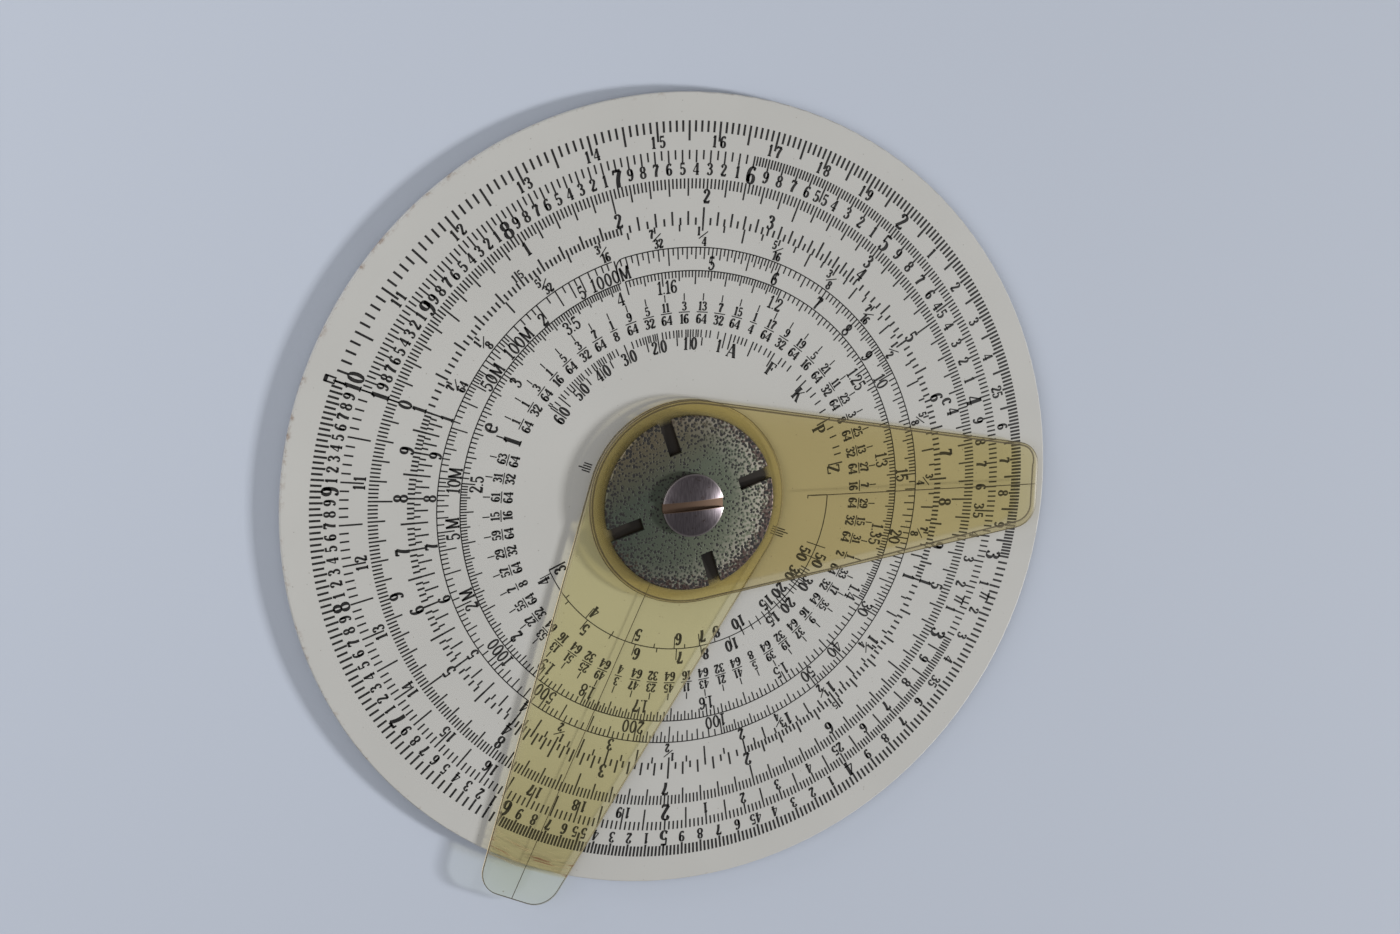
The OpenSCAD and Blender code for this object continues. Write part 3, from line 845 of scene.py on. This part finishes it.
# %% Numerals and letters
HOOK = (8, 33, 15, 9, 28, 3, 43, 13)
SIGNS = {
    "0": (54, loop(27, 50, 19, 46)),
    "1": (42, stem(22), line(7, 78, 22, 97, weight=0.6), level(6, 38)),
    "2": (
        54,
        curve(10, 74, 14, 91, 28, 96, 42, 85, 40, 64, 9, 8),
        level(7, 48, 7, weight=2.0),
        line(47, 5, 48, 22, weight=0.5),
        ball(13, 73, 7.5),
    ),
    "3": (
        54,
        curve(10, 80, 16, 94, 29, 95, 41, 82, 37, 62, 20, 53),
        curve(20, 53, 40, 46, 45, 24, 34, 6, 19, 4, 9, 16),
        ball(13, 79),
        ball(12, 18),
    ),
    "4": (58, line(4, 28, 38, 98, weight=0.45), level(3, 55, 27), line(39, 0, 39, 99), level(26, 52)),
    "5": (
        54,
        level(13, 45, 93, weight=1.8),
        line(13, 97, 11, 50, weight=0.5),
        curve(11, 50, 24, 60, 41, 50, 45, 27, 34, 6, 19, 4, 9, 15),
        ball(12, 18),
    ),
    "6": (54, curve(42, 85, 35, 95, 24, 93, 12, 75, 8, 42, 13, 12), loop(26, 29, 17, 26), ball(40, 83)),
    "7": (
        54,
        level(6, 49, 93, weight=2.0),
        line(8, 97, 6, 74, weight=0.5),
        curve(47, 92, 34, 62, 26, 30, 25, 0, weight=1.15),
    ),
    "8": (54, loop(27, 74, 16, 22), loop(27, 27, 19, 24)),
    "9": (54, curve(12, 15, 19, 5, 30, 7, 42, 25, 46, 58, 41, 88), loop(28, 71, 17, 26), ball(14, 17)),
    " ": (20,),
    ".": (20, ball(10, 6)),
    "/": (127, line(0, 0, 127, 100, weight=0.8)),
    "-": (100, level(0, 100, 50)),
    "e": (50, level(9, 43, 38), curve(43, 38, 39, 59, 26, 67, 12, 55, *HOOK)),
    "c": (50, curve(41, 54, 27, 67, 12, 55, *HOOK), ball(39, 54)),
    "p": (
        85,
        curve(6, 84, 16, 94, 40, 95, 84, 96, weight=1.6),
        line(18, 0, 34, 95, weight=0.8),
        line(55, 0, 66, 95, weight=0.8),
    ),
    "M": (
        80,
        stem(12),
        line(12, 100, 40, 6),
        line(40, 6, 68, 100),
        line(68, 100, 68, 0),
        level(2, 22),
        level(58, 78),
    ),
    "A": (
        76,
        line(8, 0, 38, 100, weight=0.4),
        line(38, 100, 66, 0, weight=1.1),
        level(17, 56, 32),
        level(0, 20),
        level(52, 78),
    ),
    "F": (
        64,
        stem(20),
        level(5, 60, 96),
        level(20, 46, 52),
        line(59, 99, 59, 74, weight=0.5),
        line(45, 64, 45, 40, weight=0.5),
        level(5, 36),
    ),
    "K": (
        78,
        stem(20),
        line(22, 38, 62, 98, weight=0.45),
        line(36, 58, 66, 0),
        level(5, 35),
        level(5, 35, 97),
        level(52, 78),
    ),
    "P": (66, stem(20), curve(20, 96, 46, 94, 57, 72, 46, 50, 20, 48), level(5, 36), level(5, 22, 97)),
    "Z": (
        68,
        level(10, 60, 95, weight=1.2),
        line(58, 94, 9, 6),
        level(8, 62, 5, weight=1.2),
        line(11, 98, 9, 74, weight=0.5),
        line(61, 2, 63, 28, weight=0.5),
    ),
}
print(len(SIGNS), "signs:", " ".join(SIGNS))

# %% [markdown]
# ## The broad pen
# A stroke of a sign becomes a ribbon: its two edges lie half a pen width to the left and right of its path,
# and the pen is wide where the path climbs and narrow where it runs level. Each pen has these two widths as
# shares of a sign's height.

# %% Broad pen
PENS = {
    "book": (0.10, 0.215),
    "bold": (0.08, 0.22),
    "fine": (0.105, 0.155),
    "heavy": (0.11, 0.22),
    "stout": (0.13, 0.25),
}
PEN_SWELL = 1.5
LOOP_STATIONS = 14
BALL_STATIONS = 5
BALL_BLUNT = 0.15


def smooth(points):
    """A curve through the points: each stretch is the cubic whose slopes follow the points either side."""
    padded = np.concatenate((2 * points[:1] - points[1:2], points, 2 * points[-1:] - points[-2:-1]))
    place = np.linspace(0, len(points) - 1, 2 * len(points) - 1)
    stretch = np.minimum(place.astype(int), len(points) - 2)
    part = (place - stretch)[:, None]
    a, b, c, d = (padded[stretch + k] for k in range(4))
    return b + part / 2 * (c - a + part * (2 * a - 5 * b + 4 * c - d + part * (3 * (b - c) + d - a)))


def pen_edges(weight, kind, shape, pen):
    """Left and right edge of a stroke: half a pen width from its path, wider where the path climbs."""
    thin, thick = PENS[pen]
    if kind == "ball":
        x, y, size = shape
        step = np.linspace(BALL_BLUNT, math.pi - BALL_BLUNT, BALL_STATIONS)
        path = np.stack((np.full(BALL_STATIONS, x), y - size * np.cos(step)), -1)
        sideways = np.stack((size * np.sin(step), 0 * step), -1)
        return path - sideways, path + sideways, False
    if kind == "loop":
        x, y, wide, high = shape
        step = np.arange(LOOP_STATIONS) * 2 * math.pi / LOOP_STATIONS
        path = np.stack((x + wide * np.cos(step), y + high * np.sin(step)), -1)
        slope = np.stack((-wide * np.sin(step), high * np.cos(step)), -1)
    else:
        path = smooth(shape) if kind == "curve" else shape
        slope = np.gradient(path, axis=0)
    slope = slope / np.linalg.norm(slope, axis=1, keepdims=True)
    half = weight / 2 * (thin + (thick - thin) * np.abs(slope[:, 1]) ** PEN_SWELL)
    sideways = half[:, None] * np.stack((slope[:, 1], -slope[:, 0]), -1)
    return path - sideways, path + sideways, kind == "loop"


print("pens", PENS)

# %% [markdown]
# ## Setting type
# A text is set on a radius of the dial: its signs stand side by side, centred on an angle, with their tops
# outwards. All the copies of a sign on a ring are worked out together, stroke by stroke.

# %% Setting type
def label(text, phi, base, height, gap=0.0, shift=0.0, wide=1.0):
    """Rows for set_type: a text centred on phi with its foot on the radius base, and wide times as wide."""
    unit = height * wide
    widths = np.array([SIGNS[sign][0] for sign in text]) / 100 * unit
    starts = np.cumsum(widths + gap) - (widths + gap)
    middle = (widths.sum() + gap * (len(text) - 1)) / 2
    return [(sign, phi, base, height, unit, start + shift - middle) for sign, start in zip(text, starts)]


def set_type(rows, pen):
    """Bars for rows of sign, phi, foot radius, height, unit of width and shift, stroke by stroke."""
    parts = []
    for sign in sorted({row[0] for row in rows}):
        phi, base, height, unit, shift = np.array([row[1:] for row in rows if row[0] == sign]).T[..., None]
        for stroke in SIGNS[sign][1:]:
            *edges, closed = pen_edges(*stroke, pen)
            edges = [on_dial(phi, base + height * e[:, 1], shift + unit * e[:, 0]) for e in edges]
            parts.append(ribbons(*edges, closed))
    return parts


print("two figures are", 2 * SIGNS["0"][0], "hundredths of their height wide")

# %% [markdown]
# ## The main scale
# The outer ring multiplies: the number x lies at 360 log10(x) degrees, so one turn is one decade. The steps
# widen from 0.01 to 0.02 and 0.05 as the scale closes up. Radii are shares of the dial radius. A label of
# two figures lets its tick pass between them. One function draws a decade either way round, because the next
# ring runs backwards.

# %% Main scale
PARTED_GAP = 0.0085
PI_RISE, PI_HEIGHT = 0.0128, 0.028


def graduate(*spans):
    """The values of each span, from its start up to its end, at its step."""
    return np.concatenate([np.arange(start, stop - step / 2, step) for start, stop, step in spans])


def on_step(values, step):
    """True where a value is a whole number of steps."""
    return np.isclose(values / step, np.round(values / step), rtol=0, atol=1e-5)


def decade_scale(sense, top, foot, near, deep, small, big, width_mm, split):
    """One decade round the dial: plain ticks end at foot, labelled ones at near, and half steps at deep."""
    x = graduate((1, 3, 0.01), (3, 6, 0.02), (6, 10, 0.05))
    tenth = on_step(x, 0.1)
    whole = on_step(x, 1.0)
    half = on_step(x, 0.05) & ~tenth & (x < 3)
    parted = tenth & ~whole & ((x < 2) | np.isclose(x[:, None], split).any(1))
    paired = parted | (on_step(x, 0.5) & ~whole & (x < 6))
    inner = np.select([half | parted, tenth], [deep, near], foot)
    parts = [ticks(sense * 360 * np.log10(x), inner, top, width_mm)]
    small_rows = label("p", sense * 360 * math.log10(math.pi), small[0] + PI_RISE, PI_HEIGHT)
    big_rows = label("1", 0.0, *big)
    for value, is_whole, is_paired, is_parted in zip(x[tenth], whole[tenth], paired[tenth], parted[tenth]):
        phi = sense * 360 * math.log10(value)
        figures = str(round(value * 10))
        if is_paired:
            small_rows += label(figures, phi, *small, gap=PARTED_GAP if is_parted else 0.0)
        elif not is_whole:
            small_rows += label(figures[-1], phi, *small)
        elif value > 1:
            big_rows += label(figures[0], phi, *big)
    return parts + set_type(small_rows, "book"), big_rows


main_big = (0.8635, 0.0415)
main_radii = {"top": 0.932, "foot": 0.905, "near": 0.900, "deep": 0.884}
main_type = {"small": (0.8695, 0.0285), "big": main_big, "split": [5.5]}
main_parts, main_rows = decade_scale(1, **main_radii, **main_type, width_mm=0.60)
main_rows += label("0", 0.0, *main_big, shift=0.023)

# The index is a small gate over the 1, with a heavy outer bar
GATE_HALF = 0.5
GATE_WALL = 0.42
sill = {"start": -GATE_HALF, "stop": GATE_HALF}
gate = [ring_line(0.9503, width_mm=1.0, **sill), ring_line(0.9275, width_mm=0.25, **sill)]
gate += [ticks([-GATE_WALL, GATE_WALL], inner=0.9265, outer=0.953, width_mm=0.5)]
gate += [ticks(0.0, inner=0.903, outer=0.9275, width_mm=0.5)]
ink_piece("print_main_scale", main_parts + set_type(main_rows, "bold") + gate)

# %% [markdown]
# ## The inverse scale
# The main scale run backwards reads one over the number. Its index is a fine line in three pieces, which
# leads the eye past the figures to the even ring under it.

# %% Inverse scale
inverse_radii = {"top": 0.862, "foot": 0.8395, "near": 0.832, "deep": 0.806}
inverse_type = {"small": (0.8025, 0.029), "big": (0.7935, 0.0435), "split": [3.5, 4.5, 5.5]}
inverse_parts, inverse_rows = decade_scale(-1, **inverse_radii, **inverse_type, width_mm=0.47)
index_line = ticks([0.0, 0.0, 0.0], [0.834, 0.768, 0.735], [0.866, 0.797, 0.740], width_mm=0.3)
ink_piece("print_inverse_scale", inverse_parts + set_type(inverse_rows, "bold") + [index_line])

# %% [markdown]
# ## The logarithm scale
# This ring is even: 500 equal divisions give the logarithm of a number on the main scale. Every fifth tick
# is longer and every twenty-fifth longest, and the tenths carry a figure. One small c marks a fixed factor.

# %% Logarithm scale
LOG_FIGURE = 0.735
FACTOR_TURN = 141.7

share = np.arange(500) / 500
steps = [on_step(share, 0.1), on_step(share, 0.05), on_step(share, 0.01)]
inner = np.select(steps, [0.768, LOG_FIGURE, 0.752], 0.7695)
log_parts = [ticks(360 * share, inner, outer=0.794, width_mm=0.46)]
log_rows = [row for k in range(10) for row in label(str(k), 36.0 * k, LOG_FIGURE, height=0.0335)]
log_rows += label("c", FACTOR_TURN, base=0.728, height=0.036)
ink_piece("print_log_scale", log_parts + set_type(log_rows, "book"))

# %% [markdown]
# ## Squares
# Two decades in one turn give squares and roots, with ticks that stand outwards from a common line. Whole
# numbers get a large figure, and a small 15 stands for one and a half.

# %% Squares
x = graduate((1, 2, 0.02), (2, 4, 0.05), (4, 10, 0.1))
longer = np.where(x < 4, on_step(x, 0.1), on_step(x, 0.5))
longest = on_step(x, 0.5) & (x < 4)
outer = np.select([on_step(x, 1.0), longest, longer], [0.699, 0.725, 0.7155], 0.700)
phi = 180 * np.log10(x)
square_parts = [ticks(np.concatenate((phi, phi + 180)), 0.682, np.tile(outer, 2), width_mm=0.54)]
square_rows = []
for decade in (0.0, 180.0):
    turn_15 = decade + 180 * math.log10(1.5)
    square_rows += label("15", turn_15, base=0.701, height=0.021, gap=PARTED_GAP)
    for whole in range(1, 10):
        square_rows += label(str(whole), decade + 180 * math.log10(whole), base=0.699, height=0.0345)
ink_piece("print_square_scale", square_parts + set_type(square_rows, "book"))

# %% [markdown]
# ## Binary fractions
# Inwards from the line of the squares hang the binary fractions of an inch: 64ths and 32nds in the first
# decade, then mixed numbers in 16ths and 8ths. Their labels are small figures either side of a slanted bar.

# %% Binary fractions
def slant_fraction(over, under, phi, shift=0.0, spread=1.0):
    """Rows for a fraction with a slanted bar: its upper figures to the left, its lower ones to the right."""
    rows = label(str(over), phi, base=0.657, height=0.0212, shift=shift - 0.0092 * spread)
    rows += label("/", phi, base=0.649, height=0.018, shift=shift + 0.003)
    return rows + label(str(under), phi, base=0.632, height=0.022, shift=shift + 0.006 * spread)


# Each span has its step, and the step at which its unlabelled ticks are long
BINARY_SPANS = [(7 / 64, 1 / 4, 1 / 64, 9 / 64), (1 / 4, 1 / 2, 1 / 64, 1 / 32), (1 / 2, 1, 1 / 32, 1 / 16)]
BINARY_SPANS += [(1, 2, 1 / 16, 1 / 8), (2, 10.1, 1 / 8, 1 / 4)]
FRACTIONS = [(7, 64), (1, 8), (5, 32), (3, 16), (7, 32), (1, 4), (5, 16), (3, 8), (7, 16), (1, 2)]
FRACTIONS += [(5, 8), (3, 4), (7, 8)]
x = graduate(*[span[:3] for span in BINARY_SPANS])
long_step = np.array([span[3] for span in BINARY_SPANS])
long_step = long_step[np.searchsorted([span[1] for span in BINARY_SPANS], x + 1e-9, side="right")]
named = [over / under for over, under in FRACTIONS] + [1.25, 1.5, 1.75, 2.5, 3.5]
named = np.isclose(x[:, None], named).any(1)
kinds = [np.isclose(x, 1.0), on_step(x, 1.0), named, on_step(x, long_step)]
inner = np.select(kinds, [0.680, 0.661, 0.668, 0.649], 0.667)
binary_parts = [ticks(180 * np.log10(10 * x), inner, outer=0.6835, width_mm=0.47)]
binary_rows, whole_rows = [], label("1", 180.0, base=0.647, height=0.034)
for over, under in FRACTIONS:
    binary_rows += slant_fraction(over, under, 180 * math.log10(10 * over / under))
for whole in range(2, 11):
    whole_rows += label(str(whole)[0], 180 * math.log10(10 * whole), base=0.6305, height=0.0305)
for over, under in ((1, 4), (1, 2), (3, 4)):
    phi_mixed = 180 * math.log10(10 + 10 * over / under)
    whole_rows += label("1", phi_mixed, base=0.645, height=0.034, shift=-0.0125)
    binary_rows += slant_fraction(over, under, phi_mixed, shift=0.0116, spread=0.5)
for whole in (2, 3):
    binary_rows += slant_fraction(1, 2, 180 * math.log10(10 * whole + 5))
binary_parts += set_type(binary_rows, "stout") + set_type(whole_rows, "book")
ink_piece("print_binary_scale", binary_parts)

# %% [markdown]
# ## The upper power scale
# Two rings hang from drawn circles and give powers and roots: x lies where its natural logarithm lies on the
# main scale. The inner ring runs from 1.15 to 4 and the outer one takes over from 4 to a million, written
# with M for a thousand. Their figures are thin and even, so they get a fine pen. A span is its start, end,
# step, and the steps of its longer and longest ticks. A name has its value, its text and a nudge in degrees
# that keeps it clear of its neighbours.

# %% Upper power scale
POWER_WIDE = 1.02
UPPER_CIRCLE, LOWER_CIRCLE = 0.628, 0.5714


def power_scale(spans, circle, reaches, names, base, height, decade, gap):
    """Ticks that hang from a circle: reaches are the inner ends of plain, longer and longest ticks."""
    x = graduate(*[span[:3] for span in spans])
    which = np.searchsorted([span[1] for span in spans], x + 1e-9, side="right")
    longer, longest = np.array([span[3:] for span in spans]).T
    inner = np.select([on_step(x, longest[which]), on_step(x, longer[which])], reaches[:0:-1], reaches[0])
    parts = [ticks(360 * (np.log10(np.log(x)) + decade), inner, circle, width_mm=0.38)]
    rows = []
    for value, text, nudge in names:
        phi = 360 * (math.log10(math.log(value)) + decade) + nudge
        rows += label(text, phi, base, height, gap=gap, wide=POWER_WIDE)
    return parts, rows


UPPER_SPANS = [(4, 6, 0.05, 0.1, 0.5), (6, 10, 0.1, 0.5, 1), (10, 15, 0.2, 1, 5), (15, 30, 0.5, 1, 5)]
UPPER_SPANS += [(30, 50, 1, 5, 10), (50, 100, 2, 10, 50), (100, 200, 5, 10, 50), (200, 300, 10, 50, 100)]
UPPER_SPANS += [(300, 500, 20, 100, 100), (500, 1e3, 50, 100, 500), (1e3, 2e3, 100, 500, 1e3)]
UPPER_SPANS += [(2e3, 5e3, 200, 1e3, 1e3), (5e3, 1e4, 500, 1e3, 5e3), (1e4, 2e4, 1e3, 5e3, 1e4)]
UPPER_SPANS += [(2e4, 5e4, 2e3, 1e4, 1e4), (5e4, 1e5, 5e3, 1e4, 5e4), (1e5, 2e5, 2e4, 1e5, 1e5)]
UPPER_SPANS += [(2e5, 5e5, 5e4, 1e5, 1e5), (5e5, 1.05e6, 1e5, 5e5, 5e5)]
upper_names = [(x, str(x), 0.0) for x in (5, 6, 7, 8, 9, 15, 20, 30, 40, 50, 1000)]
upper_names += [(10, "10", 0.3), (100, "100", 1.2), (200, "200", 0.8), (500, "500", 0.7), (2e3, "2 M", 0.5)]
upper_names += [(5e3, "5 M", 0.4), (1e4, "10M", -0.3), (5e4, "50M", 0.3), (1e5, "100M", 0.5)]
upper_names += [(2e5, "2", -0.8), (5e5, "5", -1.0), (1e6, "1000M", -1.5)]
upper_type = {"names": upper_names, "base": 0.574, "height": 0.033, "gap": 0.002}
upper, rows = power_scale(UPPER_SPANS, UPPER_CIRCLE, (0.610, 0.5995, 0.586), **upper_type, decade=0)

# The two rings are one long line: it leaves the end of the inner circle and bends over to the outer one
SEAM, SEAM_END, BEND_END = 51.15, 50.55, 53.2
BEND_DROP, BEND_WIDE = 0.023, 0.24
bend = np.linspace(0, math.pi / 2, 7)
bend_phi = SEAM + (BEND_END - SEAM) * (1 - np.cos(bend))
bend_radius = UPPER_CIRCLE - BEND_DROP * (1 - np.sin(bend))
half = BEND_WIDE * MM / DIAL_R / 2
bend_edges = [on_dial(bend_phi[None], bend_radius[None] + side * half, -side * half) for side in (1, -1)]
upper += [ribbons(*bend_edges), ticks(SEAM, LOWER_CIRCLE, UPPER_CIRCLE - BEND_DROP, BEND_WIDE)]
upper += [ring_line(UPPER_CIRCLE, width_mm=0.30, start=BEND_END, stop=360 + SEAM_END)]
ink_piece("print_upper_power_scale", upper + set_type(rows, "fine"))

# %% [markdown]
# ## The lower power scale
# The inner ring is made in the same way, one turn earlier on the same line. The e stands at the base of
# natural logarithms, larger than the figures beside it.

# %% Lower power scale
LOWER_SPANS = [(1.15, 1.2, 0.001, 0.005, 0.01), (1.2, 1.4, 0.002, 0.01, 0.05), (1.4, 1.8, 0.005, 0.01, 0.05)]
LOWER_SPANS += [(1.8, 2.0, 0.01, 0.05, 0.1), (2.0, 2.5, 0.01, 0.05, 0.1), (2.5, 4.01, 0.02, 0.1, 0.5)]
LOWER_BASE = 0.519
lower_names = [(x, f"{x:g}", 0.0) for x in (1.2, 1.3, 1.35, 1.5, 1.6, 1.7, 1.8, 1.9, 2, 2.5, 3, 3.5)]
lower_names += [(1.16, "1.16", 1.1), (1.25, "1.25", 1.0), (1.4, "1.4", -0.35), (4, "4", -1.2)]
lower_type = {"names": lower_names, "base": LOWER_BASE, "height": 0.0325, "gap": 0.0}
lower, rows = power_scale(LOWER_SPANS, LOWER_CIRCLE, (0.555, 0.547, 0.538), **lower_type, decade=1)
E_TURN = 360 * (math.log10(math.log(math.e)) + 1) + 1.4
rows += label("e", E_TURN, LOWER_BASE, height=0.046)
lower += [ring_line(LOWER_CIRCLE, width_mm=0.30, start=52.3, stop=360 + SEAM)]
ink_piece("print_lower_power_scale", lower + set_type(rows, "fine"))

# %% [markdown]
# ## Sixty-fourths
# An even ring of 64 divisions turns fractions of an inch into decimals. Each tick carries its fraction in
# lowest terms, stacked over a bar, and the full turn carries a larger 1.

# %% Sixty-fourths
STACK_WIDE = 1.06
BAR_AT, BAR_HIGH = 0.4706, 0.024

part = np.arange(1, 64)
sixty_parts = [ticks(360 * part / 64, inner=0.4987, outer=0.5165, width_mm=0.32)]
sixty_parts += [ticks(0.0, inner=0.497, outer=0.5165, width_mm=0.38)]
sixty_rows = []
for over in part.tolist():
    common = math.gcd(over, 64)
    phi_here = 360 * over / 64
    upper_text, lower_text = str(over // common), str(64 // common)
    bar_long = 0.0287 if len(lower_text) > 1 else 0.0195
    sixty_rows += label(upper_text, phi_here, base=0.4745, height=0.022, wide=STACK_WIDE)
    sixty_rows += label(lower_text, phi_here, base=0.4425, height=0.0235, wide=STACK_WIDE)
    sixty_rows += label("-", phi_here, base=BAR_AT - BAR_HIGH / 2, height=BAR_HIGH, wide=bar_long / BAR_HIGH)
sixty_parts += set_type(sixty_rows, "heavy")
sixty_parts += set_type(label("1", 0.0, base=0.452, height=0.045), "bold")
ink_piece("print_sixty_fourths", sixty_parts)

# %% [markdown]
# ## Drill sizes
# The next ring marks twist drills by their diameter, a full turn to the inch: the numbers 60 to 1 and then
# the letters A to Z. The diameters are the standard ones, in thousandths of an inch. Where two ticks would
# run together, the printer lets the long one start below its neighbour, or lifts the short one above the
# ring.

# %% Drill sizes
DRILL_TOP, DRILL_FOOT, DRILL_FIFTH, DRILL_TENTH = 0.4274, 0.4085, 0.388, 0.378
LIFTED_FOOT, LIFTED_TOP = 0.4265, 0.4365
TOUCHING = 0.6
LETTER_LEAD = 1.8

NUMBER_DRILLS = "40 41 42 43 46.5 52 55 59.5 63.5 67 70 73 76 78.5 81 82 86 89 93.5 96 98 99.5 101.5 104 "
NUMBER_DRILLS += "106.5 110 111 113 116 120 128.5 136 140.5 144 147 149.5 152 154 157 159 161 166 169.5 173 "
NUMBER_DRILLS += "177 180 182 185 189 191 193.5 196 199 201 204 205.5 209 213 221 228"
LETTER_DRILLS = "234 238 242 246 250 257 261 266 272 277 281 290 295 302 316 323 332 339 348 358 368 377 "
LETTER_DRILLS += "386 397 404 413"
numbered = 0.36 * np.array(NUMBER_DRILLS.split(), float)
lettered = 0.36 * np.array(LETTER_DRILLS.split(), float)
number = 60 - np.arange(len(numbered))
tens = number % 10 == 0
inner = np.select([tens, (number % 5 == 0) | (number == 1)], [DRILL_TENTH, DRILL_FIFTH], DRILL_FOOT)
near = np.abs(numbered[:, None] - numbered) < TOUCHING
tight = (near.sum(1) > 1) & (inner < DRILL_FOOT) & (number < 60)
lifted = (number == 59) | (number == 57)
outer = np.select([lifted, tight], [LIFTED_TOP, DRILL_FOOT], DRILL_TOP)
inner = np.where(lifted, LIFTED_FOOT, inner)
drill_parts = [ticks(numbered, inner, outer, width_mm=0.36)]
letter_foot = np.where(np.arange(len(lettered)) % 5 == 0, DRILL_FIFTH, DRILL_FOOT)
drill_parts += [ticks(lettered, letter_foot, DRILL_TOP, width_mm=0.40)]
number_type = {"base": 0.377, "height": 0.0315, "wide": 0.88}
drill_rows = []
for phi_here, size in zip(numbered[tens], number[tens]):
    drill_rows += label(str(size), phi_here, gap=0.008, **number_type)
drill_rows += label("1", numbered[-1] - 1.4, **number_type)
for letter, mark in zip("AFKPZ", (0, 10, 15, 20, 25)):
    letter_base = 0.384 if letter == "Z" else 0.372
    drill_rows += label(letter, lettered[mark] + LETTER_LEAD, letter_base, height=0.034)
ink_piece("print_drill_sizes", drill_parts + set_type(drill_rows, "bold"))

# %% [markdown]
# ## Thread depths
# The innermost scale is an arc that gives the depth of a screw thread from its threads to the inch. Figures
# on the two sides of the arc serve two shapes of thread. The depth is about in inverse proportion to the
# number, so the marks crowd towards the start, but the figures stand a little apart from the rule so that
# they clear each other. Single figures stand to the left of their tick, and pairs stand astride it.

# %% Thread depths
ARC = 0.382
ARC_START, ARC_ZERO, ARC_STOP = 160.0, 180.0, 315.1
HOOK_FOOT = 0.328
PITCH = 443.0
FIGURE_LEAD = 1.5
FIGURE_HIGH = 0.031
THREADS = (50, 30, 20, 15, 10, 8, 7, 6, 5, 4)
INNER_TURNS = (185.0, 194.2, 203.1, 210.4, 224.6, 235.8, 242.1, 252.4, 269.7, 291.0)
OUTER_TURNS = (185.0, 194.6, 204.8, 212.2, 230.0, 241.7, 251.4, 268.1, 289.9, 313.7)
OUTER_HALVES = (259.2, 278.7, 300.6)

plain = np.array([45, 40, 36, 32, 28, 26, 24, 22, 19, 18, 17, 16, 14, 13, 12, 11, 10])
coarse = np.array([6.5, 5.5, 4.5, 3.62])
thread_parts = [
    ring_line(ARC, width_mm=0.28, start=ARC_START, stop=ARC_STOP),
    ring_line(HOOK_FOOT + 0.001, width_mm=0.28, start=ARC_START, stop=ARC_START + 1.4),
    ticks([ARC_START, ARC_ZERO], [HOOK_FOOT, 0.353], [ARC, 0.4085], width_mm=0.28),
    ticks(ARC_STOP, inner=0.338, outer=ARC, width_mm=0.5),
    ticks(ARC_ZERO + PITCH / plain, inner=0.368, outer=0.396, width_mm=0.3),
    ticks(ARC_ZERO + PITCH / coarse, inner=0.371, outer=ARC, width_mm=0.3),
    ticks(OUTER_HALVES, inner=ARC, outer=0.393, width_mm=0.3),
]
thread_rows = {"heavy": label("3", ARC_STOP - 2.0, base=0.342, height=FIGURE_HIGH), "book": []}
for turns, pen, base, inner, outer in (
    (INNER_TURNS, "heavy", 0.342, 0.350, ARC),
    (OUTER_TURNS, "book", 0.390, ARC, 0.412),
):
    thread_parts += [ticks(turns, inner, outer, width_mm=0.28)]
    for threads, phi_here in zip(THREADS, turns):
        lead, gap = (FIGURE_LEAD, 0.0) if threads < 10 else (0.0, 0.004)
        thread_rows[pen] += label(str(threads), phi_here - lead, base, FIGURE_HIGH, gap=gap)
for pen, rows in thread_rows.items():
    thread_parts += set_type(rows, pen)
ink_piece("print_thread_depths", thread_parts)

# %% [markdown]
# ## Register marks
# Two little groups of four short strokes flank the hub, left by the printer to set the disc square. The
# strokes of a group are parallel, and one of them is longer than the rest. The group on the right starts
# nearer to the hub.

# %% Register marks
STROKE_GAP = 0.66 * MM / DIAL_R
stroke_top = np.array([0.2843, 0.2843, 0.2950, 0.2843])
beside = STROKE_GAP * np.array([[1.5], [0.5], [-0.5], [-1.5]])
marks = [
    ticks(np.full(4, phi_here), stroke_foot, stroke_top, width_mm=0.34, across=beside)
    for phi_here, stroke_foot in ((-0.3, 0.2625), (179.8, 0.248))
]
ink_piece("print_register_marks", marks)

# %% [markdown]
# ## Hairlines
# Each cursor reads through a fine line scribed in its underside and filled with ink, so that the line lies
# close to the print and shows no parallax. The fill is a bar let into the sheet, out to the tip. On the
# short cursor the ink near the hub has worn away.

# %% Hairlines
FILL_LOW, FILL_HIGH = 0.005 * MM, 0.11 * MM

brown_ink = ink.copy()
brown_ink.name = "brown_scribing_ink"
brown_mix = brown_ink.node_tree.nodes["Mix"]
brown_mix.inputs[6].default_value = linear("#241C10")
brown_mix.inputs[7].default_value = linear("#43361F")
for name, body, turn_deg, start, stop, wide in (
    ("long_cursor", "long_arm", LONG_TURN, 24.4, LONG_REACH - FOOT_ROUND, 0.17),
    ("short_cursor", "short_arm", SHORT_TURN, 35.6, SHORT_REACH - FOOT_ROUND, 0.24),
):
    floor_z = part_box(name)[0].z
    half = wide * MM / DIAL_R / 2
    ends = np.array([[start, stop]]) * MM / DIAL_R
    edges = [on_dial([[INDEX_TURN - turn_deg]], ends, side * half) for side in (-1, 1)]
    fill = ribbons(*edges, foot=floor_z + FILL_LOW, top=floor_z + FILL_HIGH)
    ink_piece(name.replace("cursor", "hairline"), [fill], body, brown_ink)

# %% [markdown]
# ## Closing

# %% Close
print("the rule is dressed")
